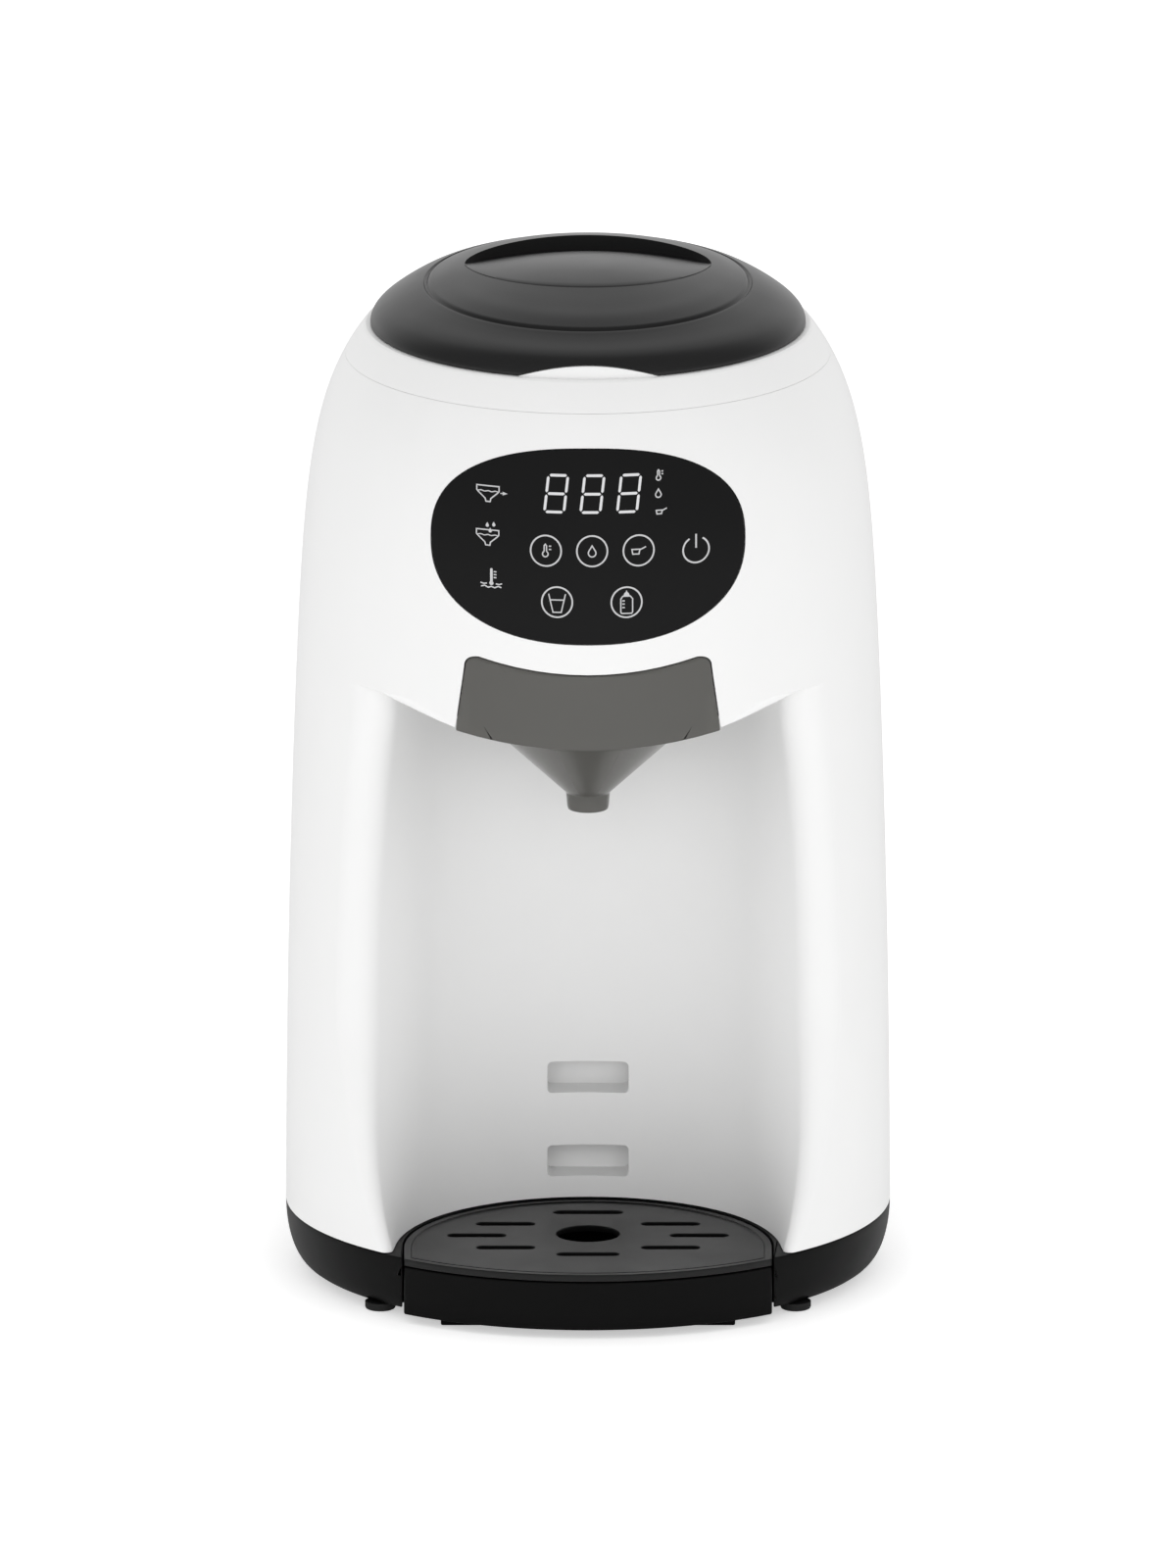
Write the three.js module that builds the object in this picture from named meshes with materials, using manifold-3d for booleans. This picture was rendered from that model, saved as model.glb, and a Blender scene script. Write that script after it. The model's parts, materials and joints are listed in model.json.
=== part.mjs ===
// Baby formula maker: a round tower with a powder box under its lid, a pull-out mixing funnel,
// a bottle bay with a drip tray, and a water tank behind. Millimetres, +Z up, front towards -Y.
import * as THREE from 'three';
import { mergeVertices } from 'three/addons/utils/BufferGeometryUtils.js';
import Module from 'manifold-3d';

const wasm = await Module();
wasm.setup();

// Fits
const gap = 0.3; // between pieces that rest on each other
const slideGap = 0.5; // round pieces that slide or turn
const overrun = 2; // how far a cutter runs past the face it cuts
const cutMargin = 27.5; // how far the widest cutters run past the tower's skin
const weldDistance = 1e-4;

// Tower
const towerRadius = 102.5;
const footHeight = 3;
const baseHeight = 20;
const bodyHeight = 307;
const housingWall = 3;
const seamDrop = 10; // top of the body down to the seam of the top ring
const splitY = 30; // plane between the front and the rear housing
const taperShare = 0.09;
const shoulderShare = 0.17;
const shoulderPower = 13;
const towerSides = 36;
const towerRings = 6;
const boxSides = 28; // of the round pieces under the lid

// Base
const baseWall = 2.5;
const baseEdgeInset = 8; // how far the curved skirt draws in at its foot
const skirtSpacingShare = 1.6;
const rearCornerX = 40;
const rearCornerSetback = 11.5; // from the tower's back to the centres of the rear corners
const rearCornerRadius = 36;
const plateLift = 2; // underside of the base up to the bottom plate
const plateThickness = 2.5;
const footRadius = 5.2;
const frontFoot = { inset: 9.27, bearing: -40.87 };
const rearFoot = { inset: 10.54, bearing: 45 };
const screwRadius = 1.5;
const screwHeadRadius = 3;
const screwHeadHeight = 1.5;
const bossRadius = 4;
const frontScrew = { inset: 17.06, bearing: -20.56 };
const rearScrew = { inset: 24, bearing: 0 };
const ventLength = 40;
const ventWidth = 3;
const ventPitch = 8;
const ventCount = 5;
const ventY = 45;

// Bottle bay
const bayInset = 39; // from the tower's skin in to the bay's straight sides
const bayBackY = -1.7;
const bayTop = 207;
const ceilingRise = 9.6; // rise of the ceiling at its side edge
const ceilingLip = 4.5; // how far past the bay's side that rise is reached
const flareFoot = 2.3;
const flareHead = 6;
const flareBelly = 18;
const flareStart = 30; // depth from the back wall at which the side lips begin
const flareReach = 40;
const bayRings = 7;
const slotHalfWidth = 13.8;
const slotHeight = 11;
const slotDepth = 12;
const lowSlotZ = 30.7;
const slotPitch = 29.3;
const slotWall = 2;

// Drip tray
const trayClearance = 1;
const baseClearance = 0.5;
const trayWall = 2;
const trayFrontInset = 0.5;
const grateThickness = 2.5;
const grateTopDrop = 0.4;
const grateRimDepth = 3;
const drainHoleRadius = 10.8;
const grateSlotWidth = 4.5;
// Slots on one side, as shares of the tray's radius, from the centre of its rear half circle
const grateSlotShares = [
  { x: 0, y: 0.755, length: 0.379 },
  { x: 0.448, y: 0.512, length: 0.32 },
  { x: 0.605, y: 0.27, length: 0.32 },
  { x: 0.448, y: 0.016, length: 0.32 },
  { x: 0, y: -0.125, length: 0.341 },
];
const trayFoot = { width: 14.5, depth: 8, sideInset: 12.5, frontInset: 18.5 };
const trayBackFoot = { halfWidth: 12, depth: 8, inset: 6.3 };

// Lid and top ring
const lidInset = 1.95; // from the ring's top edge in to the lid
const lidSkirt = 2.2;
const domeHeight = 25.3; // of the uncut dome's crown over the ring
const domeFall = 7.5; // from the crown to the dome's edge
// Lid profile as shares: r of the lid's radius, h of the dome's height
const shoulderShares = [
  { r: 0.985, h: 0.221 },
  { r: 0.951, h: 0.312 },
  { r: 0.871, h: 0.407 },
];
const grooveShares = { outer: { r: 0.752, h: 0.482 }, foot: { r: 0.74, h: 0.466 } };
const domeFootShares = { r: 0.717, h: 0.593 };
const domeShare = 0.677;
const lidWall = 2.5;
const lidCeiling = 15; // inner ceiling over the ring
const recessFloor = 19.75; // floor of the grip recess over the ring, at the axis
const recessSlopeShare = 0.06;
const recessArcShares = { radius: 0.5765, setback: 0.2747 };
const notchHalfWidth = 24;
const notchHeight = 3.3;
const notchClearance = 0.4;
const notchDepth = 9;
const ringLedge = 9.4; // width of the ring's ledge under the lid
const ringThickness = 3;
const collarDrop = 4;
const plugGap = 2; // between the lid's plug and the powder box, filled by the seal
const plugWall = 2;
const plugDrop = 11; // how far the lid's plug reaches below the ring's top
const sealLip = 1;
const sealHeight = 3;

// Powder box, dosing wheel and stirrer
const deckZ = 237.3;
const deckThickness = 3;
const wellWall = 2;
const boxRunGap = 2.5; // between the powder box and its well
const boxWall = 2;
const boxFloor = 2.4;
const boxTopDrop = 4;
const outletRadius = 9;
const wheelRunGap = 0.6;
const wheelThickness = 10;
const pocketCount = 6;
const pocketInset = 13.4; // from the wheel's edge in to the centres of its pockets
const hubRadius = 11.5;
const hubHeight = 21;
const hubHoleClearance = 0.5;
const dogLength = 14;
const dogWidth = 4;
const dogHeight = 6.2;
const stirrerRunGap = 4;
const stirrerHub = 9;
const stirrerBar = 4;
const stirrerFinger = 34;
const stirrerArms = 3;

// Drive
const gearModule = 1.5;
const gearTeeth = 24;
const pinionTeeth = 12;
const gearThickness = 3.6;
const gearTopDrop = 0.7; // deck underside down to the gear's top face
const pressureAngle = 20;
const backlash = 0.3;
const dedendumShare = 1.25; // of the module
const driveShaftRadius = 5;
const shaftRunGap = 0.4;
const motorRadius = 14;
const motorLength = 38;
const gearboxShare = 0.4; // of the motor's length
const motorStep = 2; // from the gearbox's radius down to the motor's
const motorShaftRadius = 2.5;
const motorShaftSocket = 8;
const bracketThickness = 2;
const bracketLegWidth = 4;
const bracketHalfWidth = 26;
const bracketFrontY = 4;
const bracketBackY = 46;

// Mixing funnel
const bowlSetback = 6.5; // from the tower's axis forward to the back of the bowl
const funnelWall = 2;
const funnelSides = 20;
const bowlTop = 231;
const coneTop = 210.5;
const coneFoot = 178;
const spoutTopRadius = 7.4;
const spoutFootRadius = 6.3;
const spoutFoot = 171.7;
const flangeZ = 224.3;
const flangeReach = 2.3;
const flangeThickness = 2;
const plateSideReach = 2.2; // from the bowl's side out to the plate's upper corner
const plateSideLean = 3.2; // from there out to its lower corner
const plateFootRise = 3.3; // rise of the plate's lower edge at its corners
const plateShoulderZ = 233;
const plateCornerZ = 236.6;
const plateCornerRadius = 4.6;
const plateDipZ = 232;
const plateClearance = 0.4;
const plateDrop = 6; // how far the mouth's cutter runs below the plate
const guideWall = 2.2;
const guideTop = 231.6;
const guideMouthInset = 20; // from the skin back to where the guide's rails begin

// Control panel
const panelHalfWidth = 53.2;
const panelHalfHeight = 33;
const panelZ = 276;
const panelSquarenessShare = 1.18;
const panelThickness = 1.8;
const panelProud = 0.2;
const panelClearance = 0.3;
const boardBottom = 250;
const boardTop = 304;
const boardClearance = 2.3; // from the board's upper corners to the inside of the skin
const boardThickness = 1.6;
const displayCentreX = 1.5;
const displayHalfWidth = 18.5;
const displayBottom = 287;
const displayTop = 302;
const displaySetback = 8.85; // from the skin at the display's top edge back to its face
const displayDepth = 9.2;
const displayClearance = 1;
const panelBossX = 38;
const panelBossInset = 6;
const panelBossRadius = 3;

// Water parts inside
const serviceInset = 57.5; // from the tower's back forward to the line of the pump and the heater
const pump = { x: -40, radius: 17, height: 52 };
const pumpHead = { radius: 13, height: 14 };
const heater = { x: 40, radius: 19, height: 102 };
const spigotRadius = 3;
const spigotLength = 7;
const hoseRadius = 4;
const hoseSides = 6;
const hoseHoleGap = 3.2;
const hoseRingOffset = 10; // from the powder well out to the hot hose's path round it
const hoseHoleBearing = 15; // where the hot hose passes the powder deck
const hoseGap = 0.8; // from the end of a spigot to the end of its hose
const hoseRise = 13; // straight stretch of the hot hose over the heater
const suctionHoleOffset = 37; // from the pump back to where its hose leaves the base
const crossHoseZ = 60;
const pumpInletZ = 40;
const nozzle = { radius: 6, height: 8.5, tipRadius: 4, tipDrop: 4, bore: 1.5 };
const nozzleOffset = 8.45; // from the powder well out to the nozzle's axis
const nozzleBearing = -71.32;
const controlBoard = { inset: 18.5, halfWidth: 35, bottom: 60, top: 150, thickness: 1.6 };
const boardBossX = 30;
const boardBossInset = 8;
const boardBossRadius = 3;

// Water tank
const tankInset = 3;
const tankWrap = 40.5; // how far the tank's cheeks reach forward round the tower
const tankWall = 2.2;
const tankTowerGap = 1.5;
const tankTop = 255;
const tankLidThickness = 4;
const tankLidSkirt = 6;
const tankLidClearance = 0.4;
const outlet = { inset: 24, bore: 7, wall: 2.5, drop: 6 };
const valve = { radius: 9, thickness: 2, stem: 2.2, travel: 3, overhang: 1.2 };
const dock = { radius: 13, wall: 1.5, floor: 10, pin: 2, pinDrop: 1.5, flange: 16, flangeThickness: 2 };
const dockSpigotZ = 13.5;
const sealThickness = 1;
const flap = { halfWidth: 26, depth: 20, inset: 14, thickness: 2.4, knuckle: 2 };
const fillLip = 3;
const glandRadius = 5;
const glandZ = 12.5;
const glandX = 22;
const glandLength = 7;

// Levels worked out from the sizes above
const bodyBottom = footHeight + baseHeight;
const bodyTop = bodyBottom + bodyHeight;
const seamZ = bodyTop - seamDrop;
const deckUnder = bodyBottom - baseWall;
const plateBottom = footHeight + plateLift;
const plateTop = plateBottom + plateThickness;
const deckTop = deckZ + deckThickness;
const boxBottom = deckTop + gap;
const boxTop = bodyTop - boxTopDrop;
const wheelBottom = boxBottom + boxFloor + gap;
const hubBottom = boxBottom + gap;
const gearTop = deckZ - gearTopDrop;
const gearBottom = gearTop - gearThickness;
const gearDistance = (gearModule * (gearTeeth + pinionTeeth)) / 2;
const bracketTop = gearBottom - slideGap;
const housingBottom = bodyBottom + gap;
const grateTop = bodyBottom - grateTopDrop;
const bowlRim = grateTop - grateThickness - gap;
const tankBottom = bodyBottom + gap;
const crownZ = bodyTop + domeHeight;

// Radii and depths worked out from the sizes above
const cutReach = towerRadius + cutMargin;
const rearCornerY = towerRadius + rearCornerSetback;
const rearReach = rearCornerY + rearCornerRadius;
const bayRadius = towerRadius - bayInset;
const bayCentreY = bayBackY - bayRadius;
const ceilingHalfWidth = bayRadius + ceilingLip;
const trayRadius = bayRadius - trayClearance;
const lidRadius = bodyRadius(bodyTop) - lidInset;
const domeRadius = domeShare * lidRadius;
const ringBore = lidRadius - ringLedge;
const wellRadius = ringBore;
const boxRadius = wellRadius - boxRunGap;
const plugRadius = boxRadius - boxWall - plugGap;
const wheelRadius = boxRadius - boxWall - wheelRunGap;
const stirrerRadius = plugRadius - plugWall - stirrerRunGap;
const outletY = pocketInset - wheelRadius;
const funnelY = outletY;
const bowlRadius = -funnelY - bowlSetback;
const plateTopHalf = bowlRadius + plateSideReach;
const plateFootHalf = plateTopHalf + plateSideLean;
const displayFrontY = displaySetback - bodyRadius(displayTop);
const boardY = displayFrontY + displayDepth + gap;
const boardHalfWidth = Math.sqrt(
  (bodyRadius(boardTop) - housingWall - boardClearance) ** 2 - boardY ** 2,
);
const serviceY = towerRadius - serviceInset;
const hoseRing = wellRadius + wellWall + hoseRingOffset;
const tankFrontY = towerRadius - tankWrap;
const tankOutletY = rearReach - outlet.inset;
const flapBackY = rearReach - flap.inset;
const flapFrontY = flapBackY - flap.depth;
const controlBoardY = towerRadius - controlBoard.inset;

// Places set by a bearing in degrees and an inset from the edge they follow
function placeOn(radius, { inset, bearing }, x = 0, y = 0) {
  const a = THREE.MathUtils.degToRad(bearing);
  return { x: x + (radius - inset) * Math.cos(a), y: y + (radius - inset) * Math.sin(a) };
}

const mirrorPlaces = ({ x, y }) => [{ x, y }, { x: -x, y }];
const cornerPlaces = (front, rear) => [
  ...mirrorPlaces(placeOn(towerRadius, front)),
  ...mirrorPlaces(placeOn(rearCornerRadius, rear, rearCornerX, rearCornerY)),
];
const screwPlaces = cornerPlaces(frontScrew, rearScrew);
const footPlaces = cornerPlaces(frontFoot, rearFoot);
const nozzlePlace = placeOn(wellRadius + wellWall + nozzleOffset, { inset: 0, bearing: nozzleBearing });
const hoseHole = placeOn(hoseRing, { inset: 0, bearing: hoseHoleBearing });

// Materials
const finish = (color, roughness, metalness = 0, opacity = 1) =>
  new THREE.MeshStandardMaterial({ color, roughness, metalness, opacity, transparent: opacity < 1 });
const whitePlastic = () => finish(0xeeeeee, 0.45);
const blackPlastic = () => finish(0x141414, 0.5);
const charcoalPlastic = () => finish(0x383838, 0.55);
const smokyPlastic = () => finish(0x69686a, 0.2, 0, 0.6);
const clearPlastic = () => finish(0x8f9498, 0.15, 0, 0.45);
const glossBlack = () => finish(0x1c1c1c, 0.12);
const rubber = () => finish(0x1a1a1a, 0.9);
const silicone = () => finish(0xd9d9d4, 0.8);
const steel = () => finish(0xb4b6b8, 0.35, 0.9);
const greenBoard = () => finish(0x1f5a36, 0.6);
const paleNylon = () => finish(0xe6e2d6, 0.5);

// Solids: every piece is worked out as a closed solid and turned into a mesh at the end
function solidOf(geometry) {
  const bare = new THREE.BufferGeometry();
  bare.setAttribute('position', geometry.getAttribute('position'));
  if (geometry.index) bare.setIndex(geometry.index);
  const merged = mergeVertices(bare, weldDistance);
  const corners = merged.index.array;
  const kept = [];
  for (let i = 0; i < corners.length; i += 3) {
    const [a, b, c] = [corners[i], corners[i + 1], corners[i + 2]];
    if (a !== b && b !== c && a !== c) kept.push(a, b, c);
  }
  const build = (triVerts) =>
    new wasm.Manifold(
      new wasm.Mesh({ numProp: 3, vertProperties: merged.attributes.position.array, triVerts }),
    );
  const solid = build(new Uint32Array(kept));
  return solid.volume() > 0 ? solid : build(new Uint32Array(kept.reverse()));
}

const joined = (first, ...others) => others.reduce((sum, next) => sum.add(next), first);
const cut = (first, ...others) => others.reduce((sum, next) => sum.subtract(next), first);
const common = (first, ...others) => others.reduce((sum, next) => sum.intersect(next), first);

function box(x0, x1, y0, y1, z0, z1) {
  const geometry = new THREE.BoxGeometry(x1 - x0, y1 - y0, z1 - z0);
  return solidOf(geometry.translate((x0 + x1) / 2, (y0 + y1) / 2, (z0 + z1) / 2));
}

function disc(radius, z0, z1, x = 0, y = 0, sides = 12) {
  const geometry = new THREE.CylinderGeometry(radius, radius, z1 - z0, sides);
  return solidOf(geometry.rotateX(Math.PI / 2).translate(x, y, (z0 + z1) / 2));
}

// A round bar along Y, or along X where turned is true
function bar(radius, from, to, across, z, turned = false, sides = 8) {
  const geometry = new THREE.CylinderGeometry(radius, radius, to - from, sides);
  if (turned) geometry.rotateZ(Math.PI / 2).translate((from + to) / 2, across, z);
  else geometry.translate(across, (from + to) / 2, z);
  return solidOf(geometry);
}

// A solid of revolution about Z from [radius, z] pairs
function lathe(profile, sides = towerSides) {
  const points = profile.map(([r, z]) => new THREE.Vector2(r, z));
  return solidOf(new THREE.LatheGeometry(points, sides).rotateX(Math.PI / 2));
}

function tube(outer, inner, z0, z1, x = 0, y = 0, sides = 16) {
  return cut(disc(outer, z0, z1, x, y, sides), disc(inner, z0 - overrun, z1 + overrun, x, y, sides));
}

function plate(shape, z0, z1, curveSegments = 7) {
  const geometry = new THREE.ExtrudeGeometry(shape, {
    depth: z1 - z0,
    bevelEnabled: false,
    curveSegments,
  });
  return solidOf(geometry.translate(0, 0, z0));
}

// An upright outline in X and Z, extruded along Y
function uprightPlate(shape, y0, y1, curveSegments = 6) {
  const geometry = new THREE.ExtrudeGeometry(shape, {
    depth: y1 - y0,
    bevelEnabled: false,
    curveSegments,
  });
  return solidOf(geometry.rotateX(Math.PI / 2).translate(0, y1, 0));
}

// A closed body through rings of equal count, each a list of [x, y, z]
function loft(rings) {
  const count = rings[0].length;
  const positions = rings.flat(2);
  const index = [];
  for (let ring = 0; ring < rings.length - 1; ring += 1) {
    for (let i = 0; i < count; i += 1) {
      const a = ring * count + i;
      const b = ring * count + ((i + 1) % count);
      index.push(a, b, a + count, b, b + count, a + count);
    }
  }
  const flat = rings[0].map(([x, y]) => new THREE.Vector2(x, y));
  const last = (rings.length - 1) * count;
  for (const [a, b, c] of THREE.ShapeUtils.triangulateShape(flat, [])) {
    index.push(a, c, b, last + a, last + b, last + c);
  }
  const geometry = new THREE.BufferGeometry();
  geometry.setAttribute('position', new THREE.Float32BufferAttribute(positions, 3));
  return solidOf(geometry.setIndex(index));
}

function outlineShape(points) {
  return new THREE.Shape(points.map(([x, y]) => new THREE.Vector2(x, y)));
}

// Tower skin: nearly straight below, rolling over at the shoulder
function bodyRadius(z) {
  const t = (z - bodyBottom) / bodyHeight;
  return towerRadius * (1 - taperShare * t * t - shoulderShare * Math.max(t, 0) ** shoulderPower);
}

function towerSolid(z0, z1, inset, rings = towerRings) {
  const skin = [];
  for (let i = 0; i <= rings; i += 1) {
    const z = z0 + (z1 - z0) * (1 - (1 - i / rings) ** 2);
    skin.push([bodyRadius(z) - inset, z]);
  }
  return lathe([[0, z0], ...skin, [0, z1]]);
}

// Plan of the base: the tower's circle drawn out to two rear corners
function planOutline(inset) {
  const spread = Math.hypot(rearCornerX, rearCornerY);
  const bearing = Math.atan2(rearCornerY, rearCornerX);
  const lean = bearing - Math.acos((towerRadius - rearCornerRadius) / spread);
  const half = [];
  const frontSteps = 11;
  for (let i = 0; i <= frontSteps; i += 1) {
    const a = -Math.PI / 2 + ((lean + Math.PI / 2) * i) / frontSteps;
    half.push([(towerRadius - inset) * Math.cos(a), (towerRadius - inset) * Math.sin(a)]);
  }
  const cornerSteps = 4;
  for (let i = 0; i <= cornerSteps; i += 1) {
    const a = lean + ((Math.PI / 2 - lean) * i) / cornerSteps;
    const r = rearCornerRadius - inset;
    half.push([rearCornerX + r * Math.cos(a), rearCornerY + r * Math.sin(a)]);
  }
  const mirrored = half.slice(1).reverse().map(([x, y]) => [-x, y]);
  return [...half, ...mirrored];
}

const planPlate = (inset, z0, z1) => plate(outlineShape(planOutline(inset)), z0, z1);

// Plan of the tray bay: a half circle behind, straight sides in front
function bayShape(radius) {
  const shape = new THREE.Shape();
  shape.moveTo(-radius, -cutReach);
  shape.lineTo(radius, -cutReach);
  shape.lineTo(radius, bayCentreY);
  shape.absarc(0, bayCentreY, radius, 0, Math.PI, false);
  return shape;
}

// Hollow of the bottle bay, with lips that flare most at mid height, grown by a wall
function bayHollow(grow) {
  const rings = [];
  const z0 = bodyBottom - overrun;
  const z1 = bayTop + ceilingRise + overrun + grow;
  const arcSteps = 7;
  const lipSteps = 3;
  for (let ring = 0; ring <= bayRings; ring += 1) {
    const z = z0 + ((z1 - z0) * ring) / bayRings;
    const t = Math.min(Math.max((z - bodyBottom) / (bayTop - bodyBottom), 0), 1);
    const flare = flareFoot + (flareHead - flareFoot) * t + flareBelly * Math.sin(Math.PI * t);
    const side = [];
    const place = (depth) => {
      const level = Math.min(depth / bayRadius, 1);
      const lip = Math.max((depth - flareStart) / flareReach, 0) ** 2;
      const x = bayRadius * Math.sqrt(1 - (1 - level) ** 2) + flare * lip;
      side.push([x + grow * Math.min(level * overrun, 1), bayBackY + grow - depth, z]);
    };
    for (let i = 0; i <= arcSteps; i += 1) {
      place(bayRadius * (1 - Math.cos((Math.PI / 2) * (i / arcSteps))));
    }
    const reach = bayBackY + cutReach - bayRadius;
    for (let i = 1; i <= lipSteps; i += 1) place(bayRadius + (reach * i) / lipSteps);
    rings.push([...side.slice(1).map(([x, y]) => [-x, y, z]), ...side.reverse()]);
  }
  return common(loft(rings), ceilingBlock(grow));
}

const ceilingZ = (x) => bayTop + ceilingRise * (x / ceilingHalfWidth) ** 2;

// What lies under the bay's ceiling, which rises to both sides
function ceilingBlock(grow) {
  const shape = new THREE.Shape();
  const steps = 8;
  shape.moveTo(-cutReach, 0);
  shape.lineTo(cutReach, 0);
  for (let i = 0; i <= steps; i += 1) {
    const x = ceilingHalfWidth * (1 - (2 * i) / steps);
    const z = ceilingZ(x) + grow;
    if (i === 0) shape.lineTo(cutReach, z);
    shape.lineTo(x, z);
    if (i === steps) shape.lineTo(-cutReach, z);
  }
  return uprightPlate(shape, -cutReach - overrun, bayBackY + grow + overrun);
}

// Front plate of the funnel: straight sides, round shoulders and a dipped top edge
function plateShape(grow, drop) {
  const foot = bayTop + plateFootRise;
  const lean = (plateFootHalf - plateTopHalf) / (plateShoulderZ - foot);
  const half = plateFootHalf + grow + lean * drop;
  const shape = new THREE.Shape();
  shape.moveTo(-half, foot - drop);
  shape.quadraticCurveTo(0, foot - drop - 2 * plateFootRise, half, foot - drop);
  shape.lineTo(plateTopHalf + grow, plateShoulderZ);
  const top = plateCornerZ + grow;
  shape.quadraticCurveTo(plateTopHalf + grow, top, plateTopHalf - plateCornerRadius, top);
  shape.quadraticCurveTo(0, 2 * (plateDipZ + grow) - top, plateCornerRadius - plateTopHalf, top);
  shape.quadraticCurveTo(-plateTopHalf - grow, top, -plateTopHalf - grow, plateShoulderZ);
  shape.closePath();
  return shape;
}

function panelShape(grow) {
  const shape = new THREE.Shape();
  const steps = 32;
  for (let i = 0; i < steps; i += 1) {
    const a = (2 * Math.PI * i) / steps;
    const pull = (v) => Math.sign(v) * Math.abs(v) ** (1 / panelSquarenessShare);
    const x = (panelHalfWidth + grow) * pull(Math.cos(a));
    const z = panelZ + (panelHalfHeight + grow) * pull(Math.sin(a));
    if (i === 0) shape.moveTo(x, z);
    else shape.lineTo(x, z);
  }
  return shape;
}

const frontBlock = (shape) => uprightPlate(shape, -cutReach, -towerRadius / 2);

// Bosses on the inside of a housing, from the board's face out to the skin
function boardBosses(radius, x, levels, y0, y1) {
  return levels.flatMap((z) => [-x, x].map((at) => bar(radius, y0, y1, at, z)));
}

function towerShell() {
  const outer = towerSolid(housingBottom, seamZ, 0);
  const inner = towerSolid(housingBottom - overrun, seamZ + overrun, housingWall);
  return cut(outer, inner);
}

function makeFrontHousing() {
  const skin = towerSolid(housingBottom, seamZ, 0);
  const lined = common(bayHollow(housingWall), skin);
  const slotLevels = [lowSlotZ, lowSlotZ + slotPitch];
  const pockets = slotLevels.map((z) =>
    box(-slotHalfWidth - slotWall, slotHalfWidth + slotWall, bayBackY, bayBackY + slotDepth + slotWall,
      z - slotWall, z + slotHeight + slotWall));
  const bosses = boardBosses(panelBossRadius, panelBossX,
    [boardBottom + panelBossInset, boardTop - panelBossInset], -cutReach, boardY - gap);
  const inSkin = towerSolid(housingBottom, seamZ, housingWall / 2);
  const frontHalf = box(-cutReach, cutReach, -cutReach, splitY, 0, bodyTop);
  const massed = joined(common(towerShell(), frontHalf), lined, ...pockets,
    ...bosses.map((boss) => common(boss, inSkin)));
  const slots = slotLevels.map((z) =>
    box(-slotHalfWidth, slotHalfWidth, bayBackY - overrun, bayBackY + slotDepth, z, z + slotHeight));
  const seatDepth = panelThickness - panelProud + panelClearance;
  const seat = cut(frontBlock(panelShape(panelClearance)),
    towerSolid(housingBottom, seamZ, seatDepth));
  const displayWindow = box(displayCentreX - displayHalfWidth - displayClearance,
    displayCentreX + displayHalfWidth + displayClearance, -cutReach, boardY - overrun,
    displayBottom - displayClearance, displayTop + displayClearance);
  return cut(massed, bayHollow(0), ...slots, seat, displayWindow, funnelPassage());
}

// Way through the head for the funnel, open below to the bay
function funnelPassage() {
  const bowl = funnelBowlShape(bowlRadius + flangeReach + slideGap);
  const throat = plate(bowl, bayTop - overrun, guideTop);
  const mouth = frontBlock(plateShape(plateClearance, plateDrop));
  return joined(throat, mouth);
}

function funnelBowlShape(radius) {
  const shape = new THREE.Shape();
  const front = -Math.sqrt(bodyRadius(bowlTop) ** 2 - plateFootHalf ** 2);
  shape.moveTo(-radius, front);
  shape.lineTo(radius, front);
  shape.lineTo(radius, funnelY);
  shape.absarc(0, funnelY, radius, 0, Math.PI, false);
  return shape;
}

function makeRearHousing() {
  const rearHalf = box(-cutReach, cutReach, splitY + gap, cutReach, 0, bodyTop);
  const inSkin = towerSolid(housingBottom, seamZ, housingWall / 2);
  const bosses = boardBosses(boardBossRadius, boardBossX,
    [controlBoard.bottom + boardBossInset, controlBoard.top - boardBossInset],
    controlBoardY + controlBoard.thickness + gap, cutReach);
  return joined(common(towerShell(), rearHalf), ...bosses.map((boss) => common(boss, inSkin)));
}

// Lid
const domeZ = (r) => crownZ - domeFall * (r / domeRadius) ** 2;
const lidPoint = ({ r, h }, inset, drop) => [lidRadius * r - inset, bodyTop + domeHeight * h - drop];

function lidOuter(inset) {
  const profile = [[0, bodyTop + gap + inset], [lidRadius - inset, bodyTop + gap + inset]];
  profile.push([lidRadius - inset, bodyTop + lidSkirt]);
  for (const shares of shoulderShares) profile.push(lidPoint(shares, inset, inset));
  profile.push(lidPoint(grooveShares.outer, 0, inset));
  profile.push(lidPoint(grooveShares.foot, 0, inset));
  profile.push(lidPoint(domeFootShares, 0, inset));
  const steps = 3;
  for (let i = 0; i <= steps; i += 1) {
    const r = domeRadius * (1 - i / steps);
    profile.push([r, domeZ(r) - inset]);
  }
  return lathe(profile);
}

function notchShape(clearance) {
  const radius = (notchHalfWidth ** 2 + notchHeight ** 2) / (2 * notchHeight);
  const half = notchHalfWidth - clearance;
  const shape = new THREE.Shape();
  const top = bodyTop + gap + notchHeight - clearance;
  shape.moveTo(-notchHalfWidth + clearance, bodyTop - overrun);
  shape.lineTo(half, bodyTop - overrun);
  const steps = 6;
  for (let i = 0; i <= steps; i += 1) {
    const x = half * (1 - (2 * i) / steps);
    shape.lineTo(x, top - radius + Math.sqrt(radius * radius - x * x));
  }
  return shape;
}

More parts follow.
